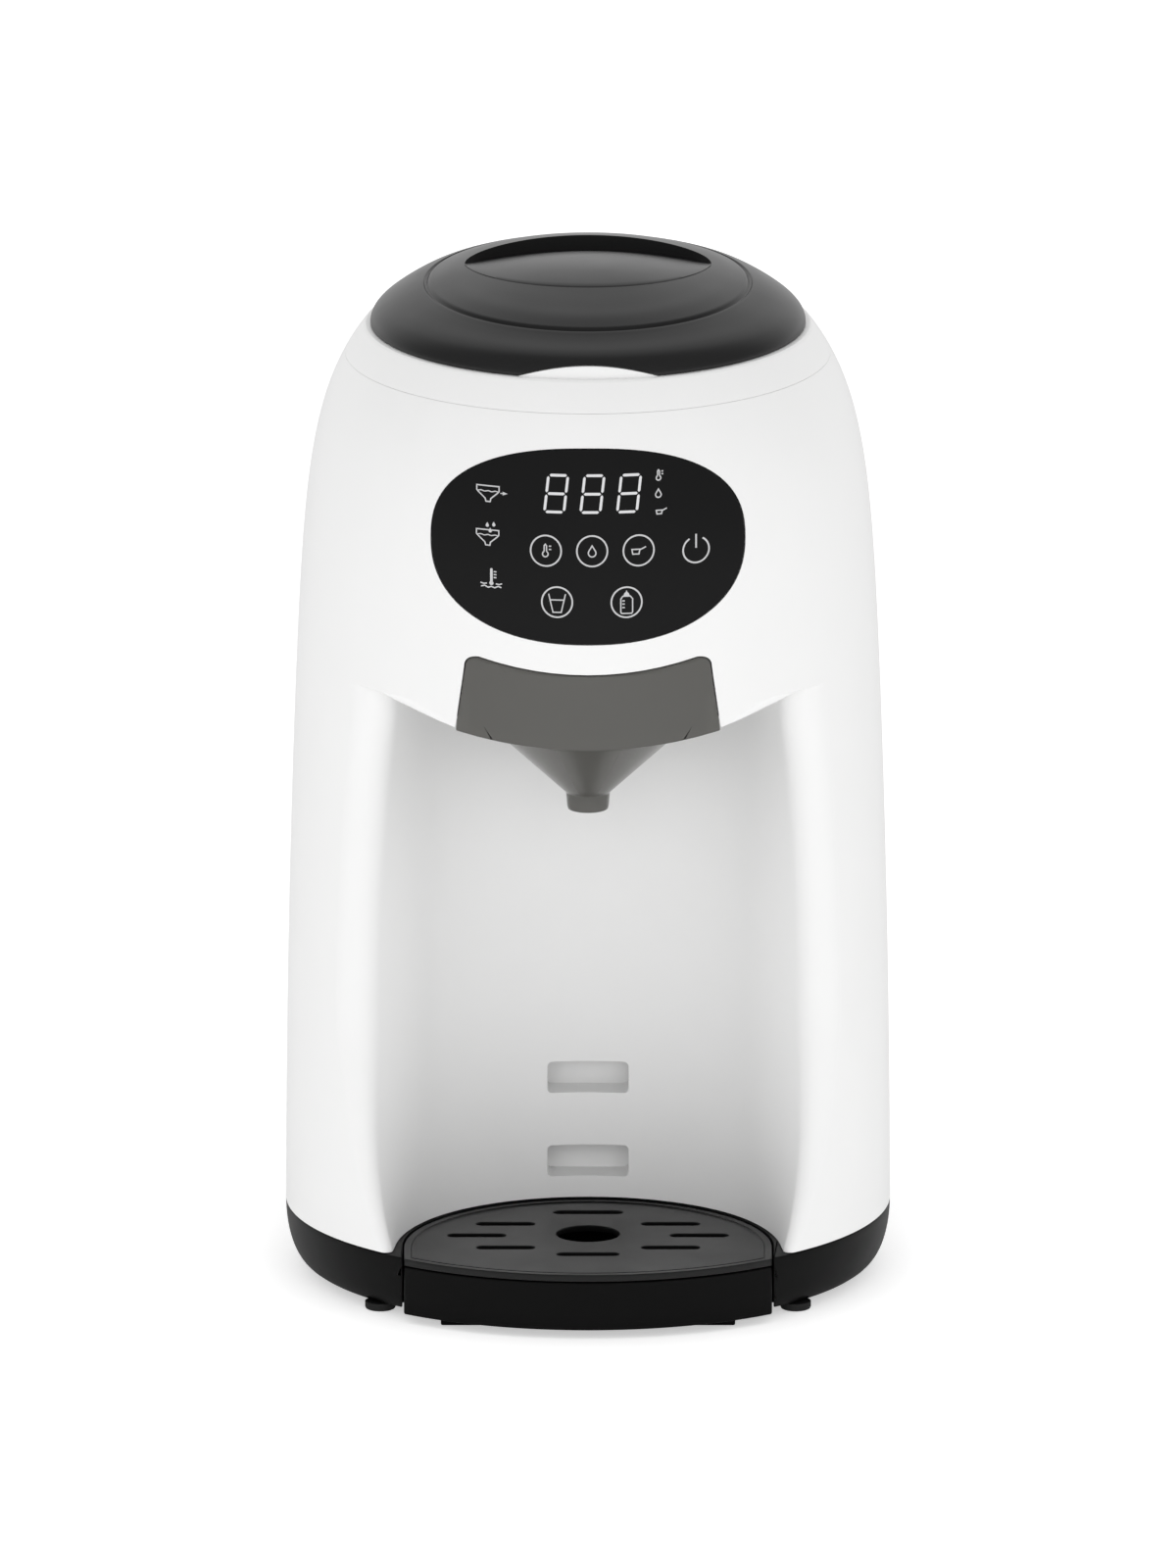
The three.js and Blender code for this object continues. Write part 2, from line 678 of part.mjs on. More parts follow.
function makeLid() {
  const hollow = lathe([
    [0, bodyTop - overrun],
    [lidRadius - lidWall, bodyTop - overrun],
    [lidRadius - lidWall, bodyTop + lidSkirt],
    lidPoint(shoulderShares[1], lidWall, lidWall),
    lidPoint(grooveShares.foot, lidWall, lidWall),
    [domeRadius - lidWall, bodyTop + lidCeiling],
    [0, bodyTop + lidCeiling],
  ], boxSides);
  const slopeRise = recessSlopeShare * lidRadius;
  const floorZ = bodyTop + recessFloor;
  const scoop = uprightRecess(floorZ, slopeRise);
  const arc = disc(recessArcShares.radius * lidRadius, bodyTop, crownZ + overrun,
    0, -recessArcShares.setback * lidRadius, towerSides);
  const notch = uprightPlate(notchShape(0), -lidRadius - overrun, -lidRadius + notchDepth);
  const [, grooveFootZ] = lidPoint(grooveShares.foot, 0, lidWall / 2);
  const plug = tube(plugRadius, plugRadius - plugWall, bodyTop - plugDrop, grooveFootZ,
    0, 0, boxSides);
  const lip = tube(plugRadius + sealLip, plugRadius - plugWall, bodyTop - plugDrop,
    bodyTop - plugDrop + plugWall, 0, 0, boxSides);
  return joined(cut(lidOuter(0), hollow, common(scoop, arc), notch), plug, lip);
}

// Wedge over the sloped floor of the grip recess
function uprightRecess(floorZ, slopeRise) {
  const shape = new THREE.Shape();
  shape.moveTo(-lidRadius, floorZ + slopeRise);
  shape.lineTo(lidRadius, floorZ - slopeRise);
  shape.lineTo(lidRadius, floorZ + domeHeight);
  shape.lineTo(-lidRadius, floorZ + domeHeight);
  const geometry = new THREE.ExtrudeGeometry(shape, { depth: 2 * lidRadius, bevelEnabled: false });
  geometry.rotateX(Math.PI / 2).rotateZ(Math.PI / 2);
  return solidOf(geometry.translate(-lidRadius, 0, 0));
}

function makeLidSeal() {
  const z0 = bodyTop - plugDrop + plugWall + gap;
  return tube(boxRadius - boxWall - gap, plugRadius + gap, z0, z0 + sealHeight, 0, 0, boxSides);
}

function makeTopRing() {
  const skin = [];
  const steps = 3;
  for (let i = 0; i <= steps; i += 1) {
    const z = seamZ + gap + (seamDrop - gap) * (i / steps);
    skin.push([bodyRadius(z), z]);
  }
  const collar = bodyRadius(seamZ) - housingWall - gap;
  const ring = lathe([
    ...skin,
    [ringBore, bodyTop],
    [ringBore, bodyTop - ringThickness],
    [collar - ringThickness, bodyTop - ringThickness - gap],
    [collar - ringThickness, seamZ - collarDrop],
    [collar, seamZ - collarDrop],
    [collar, seamZ + gap],
    skin[0],
  ]);
  const tab = common(
    uprightPlate(notchShape(notchClearance), -lidRadius - overrun, -lidRadius + notchDepth - gap),
    lathe([
      [ringBore, bodyTop - gap],
      [lidRadius, bodyTop - gap],
      [lidRadius, bodyTop + lidSkirt],
      lidPoint(shoulderShares[0], 0, 0),
      [ringBore, bodyTop + domeHeight * shoulderShares[0].h],
      [ringBore, bodyTop - gap],
    ]),
  );
  return joined(ring, tab);
}

// Powder side
function makeDeck() {
  const rim = bodyRadius(deckTop) - housingWall - gap;
  const wellTop = seamZ - collarDrop - gap;
  const deck = lathe([
    [0, deckZ],
    [rim, deckZ],
    [rim, deckTop],
    [wellRadius + wellWall, deckTop],
    [wellRadius + wellWall, wellTop],
    [wellRadius, wellTop],
    [wellRadius, deckTop],
    [0, deckTop],
  ]);
  const through = (r, x, y) => disc(r, deckZ - overrun, deckTop + overrun, x, y);
  return cut(deck,
    through(driveShaftRadius + shaftRunGap, 0, 0),
    through(outletRadius + slideGap, 0, outletY),
    through(nozzle.tipRadius + gap, nozzlePlace.x, nozzlePlace.y),
    through(hoseRadius + hoseHoleGap, hoseHole.x, hoseHole.y));
}

function makePowderBox() {
  const cup = lathe([
    [0, boxBottom],
    [boxRadius, boxBottom],
    [boxRadius, boxTop],
    [boxRadius - boxWall, boxTop],
    [boxRadius - boxWall, boxBottom + boxFloor],
    [0, boxBottom + boxFloor],
  ], boxSides);
  const through = (r, y) => disc(r, boxBottom - overrun, boxBottom + boxFloor + overrun, 0, y);
  return cut(cup, through(hubRadius + hubHoleClearance, 0), through(outletRadius, outletY));
}

function crossDog(grow, z0, z1) {
  const long = dogLength / 2 + grow;
  const short = dogWidth / 2 + grow;
  return joined(box(-long, long, -short, short, z0, z1), box(-short, short, -long, long, z0, z1));
}

function makeDosingWheel() {
  const body = joined(disc(wheelRadius, wheelBottom, wheelBottom + wheelThickness, 0, 0, boxSides),
    disc(hubRadius, hubBottom, hubBottom + hubHeight));
  const pockets = [];
  for (let i = 0; i < pocketCount; i += 1) {
    const a = (2 * Math.PI * i) / pocketCount - Math.PI / 2;
    pockets.push(disc(outletRadius, wheelBottom - overrun, wheelBottom + wheelThickness + overrun,
      -outletY * Math.cos(a), -outletY * Math.sin(a)));
  }
  const socket = crossDog(slideGap, hubBottom - overrun, hubBottom + dogHeight + 2 * slideGap);
  return cut(body, ...pockets, socket);
}

function makeStirrer() {
  const z0 = hubBottom + hubHeight + gap;
  const parts = [disc(stirrerHub, z0, z0 + 2 * stirrerBar)];
  for (let i = 0; i < stirrerArms; i += 1) {
    const half = stirrerBar / 2;
    const arm = joined(
      box(0, stirrerRadius, -half, half, z0, z0 + stirrerBar),
      box(stirrerRadius - stirrerBar, stirrerRadius, -half, half, z0, z0 + stirrerFinger),
    );
    parts.push(arm.rotate([0, 0, (360 / stirrerArms) * i]));
  }
  return joined(...parts);
}

// Involute gear outline with a tooth on the X axis
function gearShape(teeth) {
  const pitch = (gearModule * teeth) / 2;
  const alpha = THREE.MathUtils.degToRad(pressureAngle);
  const baseCircle = pitch * Math.cos(alpha);
  const tip = pitch + gearModule;
  const root = pitch - dedendumShare * gearModule;
  const involute = (a) => Math.tan(a) - a;
  const halfAngle = (r) => {
    const at = Math.acos(Math.min(baseCircle / r, 1));
    return Math.PI / (2 * teeth) - backlash / (2 * pitch) + involute(alpha) - involute(at);
  };
  const foot = Math.max(baseCircle, root);
  const flankSteps = 1;
  const points = [];
  for (let tooth = 0; tooth < teeth; tooth += 1) {
    const middle = (2 * Math.PI * tooth) / teeth;
    const flank = [[root, halfAngle(foot)]];
    for (let i = 0; i <= flankSteps; i += 1) {
      const r = foot + ((tip - foot) * i) / flankSteps;
      flank.push([r, halfAngle(r)]);
    }
    for (const [r, a] of flank) points.push([r * Math.cos(middle - a), r * Math.sin(middle - a)]);
    for (const [r, a] of flank.reverse()) {
      points.push([r * Math.cos(middle + a), r * Math.sin(middle + a)]);
    }
  }
  return outlineShape(points);
}

function makeDriveGear() {
  const wheel = plate(gearShape(gearTeeth), gearBottom, gearTop);
  return joined(wheel, disc(driveShaftRadius, gearBottom, boxBottom));
}

const makeCoupling = () =>
  crossDog(0, boxBottom + gap, boxBottom + gap + dogHeight);

function makePinion() {
  const turned = plate(gearShape(pinionTeeth), gearBottom, gearTop)
    .rotate([0, 0, 180 / pinionTeeth])
    .translate([0, gearDistance, 0]);
  const shaftFoot = bracketTop - bracketThickness - gap - motorShaftSocket;
  return joined(turned, disc(motorShaftRadius, shaftFoot, gearBottom + gap, 0, gearDistance));
}

function makeBracket() {
  const base = box(-bracketHalfWidth, bracketHalfWidth, bracketFrontY, bracketBackY,
    bracketTop - bracketThickness, bracketTop);
  const legs = [-1, 1].flatMap((side) => [bracketFrontY, bracketBackY - bracketLegWidth].map((y) => {
    const x = side * (bracketHalfWidth - bracketLegWidth / 2);
    return box(x - bracketLegWidth / 2, x + bracketLegWidth / 2, y, y + bracketLegWidth,
      bracketTop - bracketThickness, deckZ - gap);
  }));
  const hole = disc(motorShaftRadius + slideGap, bracketTop - 2 * overrun, bracketTop + overrun,
    0, gearDistance);
  return cut(joined(base, ...legs), hole);
}

function makeMotor() {
  const top = bracketTop - bracketThickness - gap;
  const body = joined(
    disc(motorRadius, top - motorLength * gearboxShare, top, 0, gearDistance),
    disc(motorRadius - motorStep, top - motorLength, top, 0, gearDistance),
    disc(motorShaftRadius, top - motorLength - motorStep, top, 0, gearDistance),
  );
  return cut(body, disc(motorShaftRadius + gap, top - motorShaftSocket - gap, top + overrun,
    0, gearDistance));
}

// Funnel: a bowl open at the top, drawn forward to the front plate, with a cone and a spout below
function makeFunnel() {
  const bowlFoot = coneTop + funnelWall;
  const inside = plate(funnelBowlShape(bowlRadius - funnelWall), bowlFoot, bowlTop + overrun);
  const bowlWalls = cut(plate(funnelBowlShape(bowlRadius), coneTop, bowlTop), inside);
  const flange = cut(plate(funnelBowlShape(bowlRadius + flangeReach), flangeZ,
    flangeZ + flangeThickness), inside);
  const coneRadius = bowlRadius - funnelWall;
  const midZ = coneFoot + (coneTop - coneFoot) / 2;
  const midRadius = (coneRadius + spoutTopRadius) / 2;
  const cone = lathe([
    [0, spoutFoot],
    [spoutFootRadius, spoutFoot],
    [spoutTopRadius, coneFoot],
    [midRadius, midZ],
    [coneRadius + funnelWall / 2, coneTop],
    [coneRadius + funnelWall / 2, bowlFoot],
    [0, bowlFoot],
  ], funnelSides).translate([0, funnelY, 0]);
  const hollow = lathe([
    [0, spoutFoot - overrun],
    [spoutFootRadius - funnelWall, spoutFoot - overrun],
    [spoutTopRadius - funnelWall, coneFoot + funnelWall / 2],
    [midRadius - funnelWall, midZ + funnelWall / 2],
    [coneRadius - funnelWall / 2, coneTop],
    [coneRadius - funnelWall / 2, bowlFoot + overrun],
    [0, bowlFoot + overrun],
  ], funnelSides).translate([0, funnelY, 0]);
  const skinBand = cut(towerSolid(bayTop, plateCornerZ + overrun, 0),
    towerSolid(bayTop - overrun, plateCornerZ + 2 * overrun, housingWall));
  const front = common(frontBlock(plateShape(0, 0)), skinBand);
  const noseSides = cut(
    common(plate(noseShape(bowlRadius), coneTop, bowlTop),
      towerSolid(coneTop, bowlTop, housingWall / 2)),
    plate(noseShape(bowlRadius - funnelWall), bowlFoot, bowlTop + overrun),
  );
  return cut(joined(bowlWalls, flange, cone, front, noseSides), hollow);
}

// Forward part of the bowl, which runs up to the back of the front plate
function noseShape(radius) {
  const front = -Math.sqrt(bodyRadius(bowlTop) ** 2 - plateFootHalf ** 2);
  return outlineShape([
    [-radius, front + overrun],
    [-radius, -cutReach],
    [radius, -cutReach],
    [radius, front + overrun],
  ]);
}

function makeGuide() {
  const inner = bowlRadius + flangeReach + slideGap;
  const guideFoot = ceilingZ(inner + guideWall) + housingWall + gap;
  const channel = cut(plate(funnelBowlShape(inner + guideWall), guideFoot, guideTop),
    plate(funnelBowlShape(inner), guideFoot - overrun, guideTop + overrun));
  const ledgeTop = flangeZ - gap;
  const ledge = cut(plate(funnelBowlShape(inner + guideWall), ledgeTop - flangeThickness, ledgeTop),
    plate(funnelBowlShape(bowlRadius + slideGap), guideFoot - overrun, guideTop + overrun));
  const behindPlate = towerSolid(guideFoot - overrun, guideTop + overrun, housingWall + gap);
  const open = plate(noseShape(inner), guideFoot - overrun, guideTop + overrun);
  return cut(common(joined(channel, ledge), behindPlate), common(open, box(-cutReach, cutReach,
    -cutReach, guideMouthInset - bodyRadius(guideTop), 0, bodyTop)));
}

// Panel
function makePanelGlass() {
  const band = cut(towerSolid(bayTop, seamZ, -panelProud), towerSolid(bayTop - overrun, seamZ + overrun,
    panelThickness - panelProud));
  return common(frontBlock(panelShape(0)), band);
}

const makePanelBoard = () =>
  box(-boardHalfWidth, boardHalfWidth, boardY, boardY + boardThickness, boardBottom, boardTop);

const makeDisplay = () =>
  box(displayCentreX - displayHalfWidth, displayCentreX + displayHalfWidth,
    displayFrontY, displayFrontY + displayDepth, displayBottom, displayTop);

// Base
function skirtInset(z) {
  const level = Math.max((z - footHeight) / baseHeight, 0);
  return baseEdgeInset * (1 - Math.sqrt(1 - (1 - level) ** 2));
}

// Curved skirt of the base, drawn in at its foot
function skirtSolid(inset, z0, z1) {
  const rings = [];
  const steps = 3;
  for (let i = 0; i <= steps; i += 1) {
    const z = z0 + (z1 - z0) * (i / steps) ** skirtSpacingShare;
    rings.push(planOutline(inset + skirtInset(z)).map(([x, y]) => [x, y, z]));
  }
  return loft(rings);
}

function makeBaseShell() {
  const outer = skirtSolid(0, footHeight, bodyBottom);
  const cavity = skirtSolid(baseWall, footHeight - overrun, deckUnder);
  const bayLine = bayRadius - baseClearance;
  const lining = common(plate(bayShape(bayLine + baseWall), footHeight, bodyBottom), outer);
  const bossTop = deckUnder + gap;
  const bosses = screwPlaces.map(({ x, y }) => cut(
    disc(bossRadius, plateTop + gap, bossTop, x, y),
    disc(screwRadius + gap, plateTop - overrun, bossTop - overrun, x, y)));
  const dockHole = disc(dock.radius + gap, deckUnder - overrun, bodyBottom + overrun, 0, tankOutletY);
  const hoseHole = disc(hoseRadius + overrun, deckUnder - overrun, bodyBottom + overrun,
    pump.x, serviceY + suctionHoleOffset);
  const wireHole = disc(hoseRadius + overrun, deckUnder - overrun, bodyBottom + overrun, 0, splitY);
  const glandHole = bar(glandRadius + gap, rearReach - baseEdgeInset - 2 * baseWall,
    rearReach + overrun, glandX, glandZ);
  return cut(joined(cut(outer, cavity), lining, ...bosses),
    plate(bayShape(bayLine), footHeight - overrun, bodyBottom + overrun),
    dockHole, hoseHole, wireHole, glandHole);
}

function makeBottomPlate() {
  const body = common(skirtSolid(baseWall + gap, footHeight - overrun, deckUnder),
    planPlate(0, plateBottom, plateTop));
  const bay = plate(bayShape(bayRadius - baseClearance + baseWall + gap), plateBottom - overrun,
    plateTop + overrun);
  const holes = screwPlaces.map(({ x, y }) =>
    disc(screwRadius + gap, plateBottom - overrun, plateTop + overrun, x, y));
  const vents = [];
  for (let i = 0; i < ventCount; i += 1) {
    const y = ventY + ventPitch * (i - (ventCount - 1) / 2);
    vents.push(box(-ventLength / 2, ventLength / 2, y - ventWidth / 2, y + ventWidth / 2,
      plateBottom - overrun, plateTop + overrun));
  }
  return cut(body, bay, ...holes, ...vents);
}

const makeFoot = ({ x, y }) => disc(footRadius, 0, footHeight - gap, x, y);

function makeScrew({ x, y }) {
  const head = plateBottom - gap;
  return joined(disc(screwHeadRadius, head - screwHeadHeight, head, x, y, 8),
    disc(screwRadius, head - screwHeadHeight, deckUnder - overrun - gap, x, y, 8));
}

function makeGland() {
  const back = rearReach + gap;
  return bar(glandRadius, back - glandLength, back - overrun, glandX, glandZ);
}

// Tray
function trayBody(inset, z0, z1) {
  return common(plate(bayShape(trayRadius - inset), z0, z1),
    disc(towerRadius - trayFrontInset - inset, z0, z1, 0, 0, towerSides));
}

function makeTrayBowl() {
  const bowl = cut(trayBody(0, footHeight, bowlRim),
    trayBody(trayWall, footHeight + trayWall, bowlRim + overrun));
  const footTop = footHeight + trayWall / 2;
  const outer = trayRadius - trayFoot.sideInset;
  const frontY = trayFoot.frontInset - towerRadius;
  const foot = box(outer - trayFoot.width, outer, frontY, frontY + trayFoot.depth, 0, footTop);
  const backY = bayBackY - trayBackFoot.inset;
  const backFoot = box(-trayBackFoot.halfWidth, trayBackFoot.halfWidth, backY - trayBackFoot.depth,
    backY, 0, footTop);
  return joined(bowl, foot, foot.mirror([1, 0, 0]), backFoot);
}

function makeGrate() {
  const slab = trayBody(0, grateTop - grateThickness, grateTop);
  const rim = cut(trayBody(trayWall + slideGap, grateTop - grateThickness - grateRimDepth,
    grateTop - grateThickness / 2),
  trayBody(2 * trayWall + slideGap, footHeight, grateTop - grateThickness));
  const slots = grateSlotShares.flatMap(({ x, y, length }) => {
    const half = (trayRadius * length - grateSlotWidth) / 2;
    const shape = new THREE.Shape();
    shape.absarc(half, 0, grateSlotWidth / 2, -Math.PI / 2, Math.PI / 2, false);
    shape.absarc(-half, 0, grateSlotWidth / 2, Math.PI / 2, -Math.PI / 2, false);
    const slot = plate(shape, footHeight, bodyBottom + overrun, 2)
      .translate([trayRadius * x, bayCentreY + trayRadius * y, 0]);
    return x > 0 ? [slot, slot.mirror([1, 0, 0])] : [slot];
  });
  const drain = disc(drainHoleRadius, footHeight, bodyBottom + overrun, 0, funnelY, 16);
  return cut(joined(slab, rim), ...slots, drain);
}

// Water side
function tankBody(inset, z0, z1) {
  return cut(planPlate(tankInset + inset, z0, z1),
    towerSolid(bodyBottom, seamZ, -tankTowerGap - inset),
    box(-cutReach, cutReach, -cutReach, tankFrontY + inset, 0, bodyTop));
}

function makeTank() {
  const shell = cut(tankBody(0, tankBottom, tankTop),
    tankBody(tankWall, tankBottom + tankWall, tankTop + overrun));
  const neck = disc(outlet.bore + outlet.wall, tankBottom - outlet.drop, tankBottom + tankWall,
    0, tankOutletY);
  return cut(joined(shell, neck),
    disc(outlet.bore, 0, tankBottom + tankWall + overrun, 0, tankOutletY));
}

function makeTankLid() {
  const z0 = tankTop + gap;
  const cap = tankBody(0, z0, z0 + tankLidThickness);
  const skirtInset = tankWall + tankLidClearance;
  const skirt = cut(tankBody(skirtInset, z0 - tankLidSkirt, z0 + tankLidThickness / 2),
    tankBody(skirtInset + tankWall, z0 - tankLidSkirt - overrun, z0));
  const fillHole = box(-flap.halfWidth + fillLip, flap.halfWidth - fillLip,
    flapFrontY + fillLip, flapBackY - fillLip, z0 - overrun, z0 + tankLidThickness + overrun);
  const seat = box(-flap.halfWidth - gap, flap.halfWidth + gap, flapFrontY - gap,
    flapBackY + 2 * flap.knuckle, z0 + tankLidThickness - flap.thickness, z0 + tankLidThickness + overrun);
  return cut(joined(cap, skirt), fillHole, seat);
}

function makeFlap() {
  const z0 = tankTop + 2 * gap + tankLidThickness - flap.thickness;
  const leaf = box(-flap.halfWidth, flap.halfWidth, flapFrontY, flapBackY, z0, z0 + flap.thickness);
  const barrel = bar(flap.thickness / 2, -flap.halfWidth, flap.halfWidth, flapBackY,
    z0 + flap.thickness / 2, true);
  return joined(leaf, barrel);
}

function makeValve() {
  const seat = tankBottom + tankWall + gap + valve.travel;
  return joined(disc(valve.radius, seat, seat + valve.thickness, 0, tankOutletY),
    disc(valve.stem, tankBottom - valve.overhang, seat + valve.thickness / 2, 0, tankOutletY));
}

function makeDock() {
  const top = bodyBottom;
  const cup = cut(disc(dock.radius, dock.floor, top, 0, tankOutletY),
    disc(dock.radius - dock.wall, dock.floor + dock.wall, top + overrun, 0, tankOutletY));
  const flange = tube(dock.flange, dock.radius - dock.wall / 2,
    deckUnder - gap - dock.flangeThickness, deckUnder - gap, 0, tankOutletY);
  const pin = disc(dock.pin, dock.floor, tankBottom - dock.pinDrop, 0, tankOutletY);
  const edge = tankOutletY - dock.radius;
  const spigot = bar(spigotRadius, edge - spigotLength, edge + dock.wall / 2, 0, dockSpigotZ);
  return joined(cup, flange, pin, spigot);
}

function makeDockSeal() {
  const inner = outlet.bore + outlet.wall + gap;
  const z0 = tankBottom - outlet.drop + gap;
  return tube(inner + sealThickness, inner, z0, z0 + sealHeight, 0, tankOutletY);
}

function makePump() {
  const z0 = bodyBottom + gap;
  const top = z0 + pump.height;
  return joined(disc(pump.radius, z0, top, pump.x, serviceY),
    disc(pumpHead.radius, top - gap, top + pumpHead.height, pump.x, serviceY),
    bar(spigotRadius, serviceY, serviceY + pump.radius + spigotLength, pump.x, pumpInletZ),
    bar(spigotRadius, pump.x, pump.x + pump.radius + spigotLength, serviceY, crossHoseZ, true));
}

function makeHeater() {
  const z0 = bodyBottom + gap;
  const top = z0 + heater.height;
  return joined(disc(heater.radius, z0, top, heater.x, serviceY),
    disc(spigotRadius, top - gap, top + spigotLength, heater.x, serviceY),
    bar(spigotRadius, heater.x - heater.radius - spigotLength, heater.x, serviceY, crossHoseZ, true));
}

function makeNozzle() {
  const z0 = deckTop + gap;
  const body = joined(disc(nozzle.radius, z0, z0 + nozzle.height, nozzlePlace.x, nozzlePlace.y),
    disc(nozzle.tipRadius, deckZ - nozzle.tipDrop, z0 + overrun, nozzlePlace.x, nozzlePlace.y));
  return cut(body, disc(nozzle.bore, 0, z0 + nozzle.height / 2, nozzlePlace.x, nozzlePlace.y));
}

// A round hose along hand-set points
function hose(points, steps) {
  const curve = new THREE.CatmullRomCurve3(points.map(([x, y, z]) => new THREE.Vector3(x, y, z)));
  const section = new THREE.Shape();
  for (let i = 0; i < hoseSides; i += 1) {
    const a = (2 * Math.PI * i) / hoseSides;
    const [x, y] = [hoseRadius * Math.cos(a), hoseRadius * Math.sin(a)];
    if (i === 0) section.moveTo(x, y);
    else section.lineTo(x, y);
  }
  return solidOf(new THREE.ExtrudeGeometry(section, { steps, extrudePath: curve, bevelEnabled: false }));
}

const behindPump = ([x, y, z]) => [x, serviceY + y, z];
const roundWell = ([bearing, z]) => {
  const { x, y } = placeOn(hoseRing, { inset: 0, bearing });
  return [x, y, z];
};
const dockPortY = tankOutletY - dock.radius - spigotLength - hoseGap;
const pumpPortY = serviceY + pump.radius + spigotLength + hoseGap;
const pumpPortX = pump.x + pump.radius + spigotLength + hoseGap;
const heaterPortX = heater.x - heater.radius - spigotLength - hoseGap;
const heaterPortZ = bodyBottom + gap + heater.height + spigotLength + hoseGap;
const suctionHose = [
  [0, dockPortY, dockSpigotZ],
  ...[[-1, 55, 13.5], [-15, 45, 13.5], [-31, 38, 13.8], [-40, 36.8, 18]].map(behindPump),
  ...[[-40.6, 37, 27], [-40.2, 35, 36], [-40, 29, 40]].map(behindPump),
  [pump.x, pumpPortY, pumpInletZ],
];
const crossHose = [
  [pumpPortX, serviceY, crossHoseZ],
  ...[[-5, 0, 58], [5, 0, 58]].map(behindPump),
  [heaterPortX, serviceY, crossHoseZ],
];
const hotHose = [
  [heater.x, serviceY, heaterPortZ],
  [heater.x, serviceY, heaterPortZ + hoseRise],
  ...[[46, -2, 172], [59, -11, 205]].map(behindPump),
  ...[[18, 228], [13, 242], [4, 248.5], [-14, 247]].map(roundWell),
  ...[[-35, 246], [-52, 245.6], [-62.5, 245.6]].map(roundWell),
];

const makeControlBoard = () =>
  box(-controlBoard.halfWidth, controlBoard.halfWidth, controlBoardY,
    controlBoardY + controlBoard.thickness, controlBoard.bottom, controlBoard.top);

// Assembly
function meshOf(name, solid, material) {
  const { numProp, vertProperties, triVerts, numVert } = solid.getMesh();
  const positions = new Float32Array(numVert * 3);
  for (let i = 0; i < numVert; i += 1) {
    positions.set(vertProperties.subarray(i * numProp, i * numProp + 3), i * 3);
  }
  const geometry = new THREE.BufferGeometry();
  geometry.setAttribute('position', new THREE.BufferAttribute(positions, 3));
  geometry.setIndex(new THREE.BufferAttribute(triVerts, 1));
  geometry.computeVertexNormals();
  const mesh = new THREE.Mesh(geometry, material);
  mesh.name = name;
  return mesh;
}

function group(...meshes) {
  const made = new THREE.Group();
  made.add(...meshes);
  return made;
}

const numbered = (name, places, make, material) =>
  places.map((place, i) => meshOf(`${name}_${i + 1}`, make(place), material()));

const base = group(
  meshOf('base_shell', makeBaseShell(), blackPlastic()),
  meshOf('bottom_plate', makeBottomPlate(), blackPlastic()),
  ...numbered('base_foot', footPlaces, makeFoot, rubber),
  ...numbered('base_screw', screwPlaces, makeScrew, steel),
  meshOf('cord_gland', makeGland(), rubber()),
);
const housing = group(
  meshOf('front_housing', makeFrontHousing(), whitePlastic()),
  meshOf('rear_housing', makeRearHousing(), whitePlastic()),
  meshOf('top_ring', makeTopRing(), whitePlastic()),
);
const panel = group(
  meshOf('panel_glass', makePanelGlass(), glossBlack()),
  meshOf('panel_board', makePanelBoard(), greenBoard()),
  meshOf('display_module', makeDisplay(), charcoalPlastic()),
);
const powder = group(
  meshOf('powder_deck', makeDeck(), whitePlastic()),
  meshOf('powder_box', makePowderBox(), clearPlastic()),
  meshOf('dosing_wheel', makeDosingWheel(), paleNylon()),
  meshOf('stirrer', makeStirrer(), paleNylon()),
  meshOf('lid', makeLid(), charcoalPlastic()),
  meshOf('lid_seal', makeLidSeal(), silicone()),
);
const drive = group(
  meshOf('drive_gear', makeDriveGear(), paleNylon()),
  meshOf('drive_coupling', makeCoupling(), paleNylon()),
  meshOf('motor_pinion', makePinion(), steel()),
  meshOf('motor_bracket', makeBracket(), steel()),
  meshOf('drive_motor', makeMotor(), steel()),
);
const mixing = group(
  meshOf('funnel', makeFunnel(), smokyPlastic()),
  meshOf('funnel_guide', makeGuide(), whitePlastic()),
  meshOf('water_nozzle', makeNozzle(), silicone()),
);
const tray = group(
  meshOf('tray_bowl', makeTrayBowl(), blackPlastic()),
  meshOf('tray_grate', makeGrate(), charcoalPlastic()),
);
const water = group(
  meshOf('water_tank', makeTank(), clearPlastic()),
  meshOf('tank_lid', makeTankLid(), charcoalPlastic()),
  meshOf('fill_flap', makeFlap(), charcoalPlastic()),
  meshOf('tank_valve', makeValve(), paleNylon()),
  meshOf('tank_dock', makeDock(), blackPlastic()),
  meshOf('dock_seal', makeDockSeal(), silicone()),
  meshOf('pump', makePump(), charcoalPlastic()),
  meshOf('heater', makeHeater(), steel()),
  meshOf('suction_hose', hose(suctionHose, 18), silicone()),
  meshOf('cross_hose', hose(crossHose, 6), silicone()),
  meshOf('hot_hose', hose(hotHose, 26), silicone()),
  meshOf('control_board', makeControlBoard(), greenBoard()),
);

const machine = group(base, housing, panel, powder, drive, mixing, tray, water);
machine.position.y = (towerRadius - trayFrontInset - rearReach) / 2;
export default group(machine);
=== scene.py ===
"""Looks of a baby formula maker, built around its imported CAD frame. Sizes are millimetres measured
from the tower's axis, with +Z up and the front towards -Y; row() turns them into the frame's metres."""

import json
import math

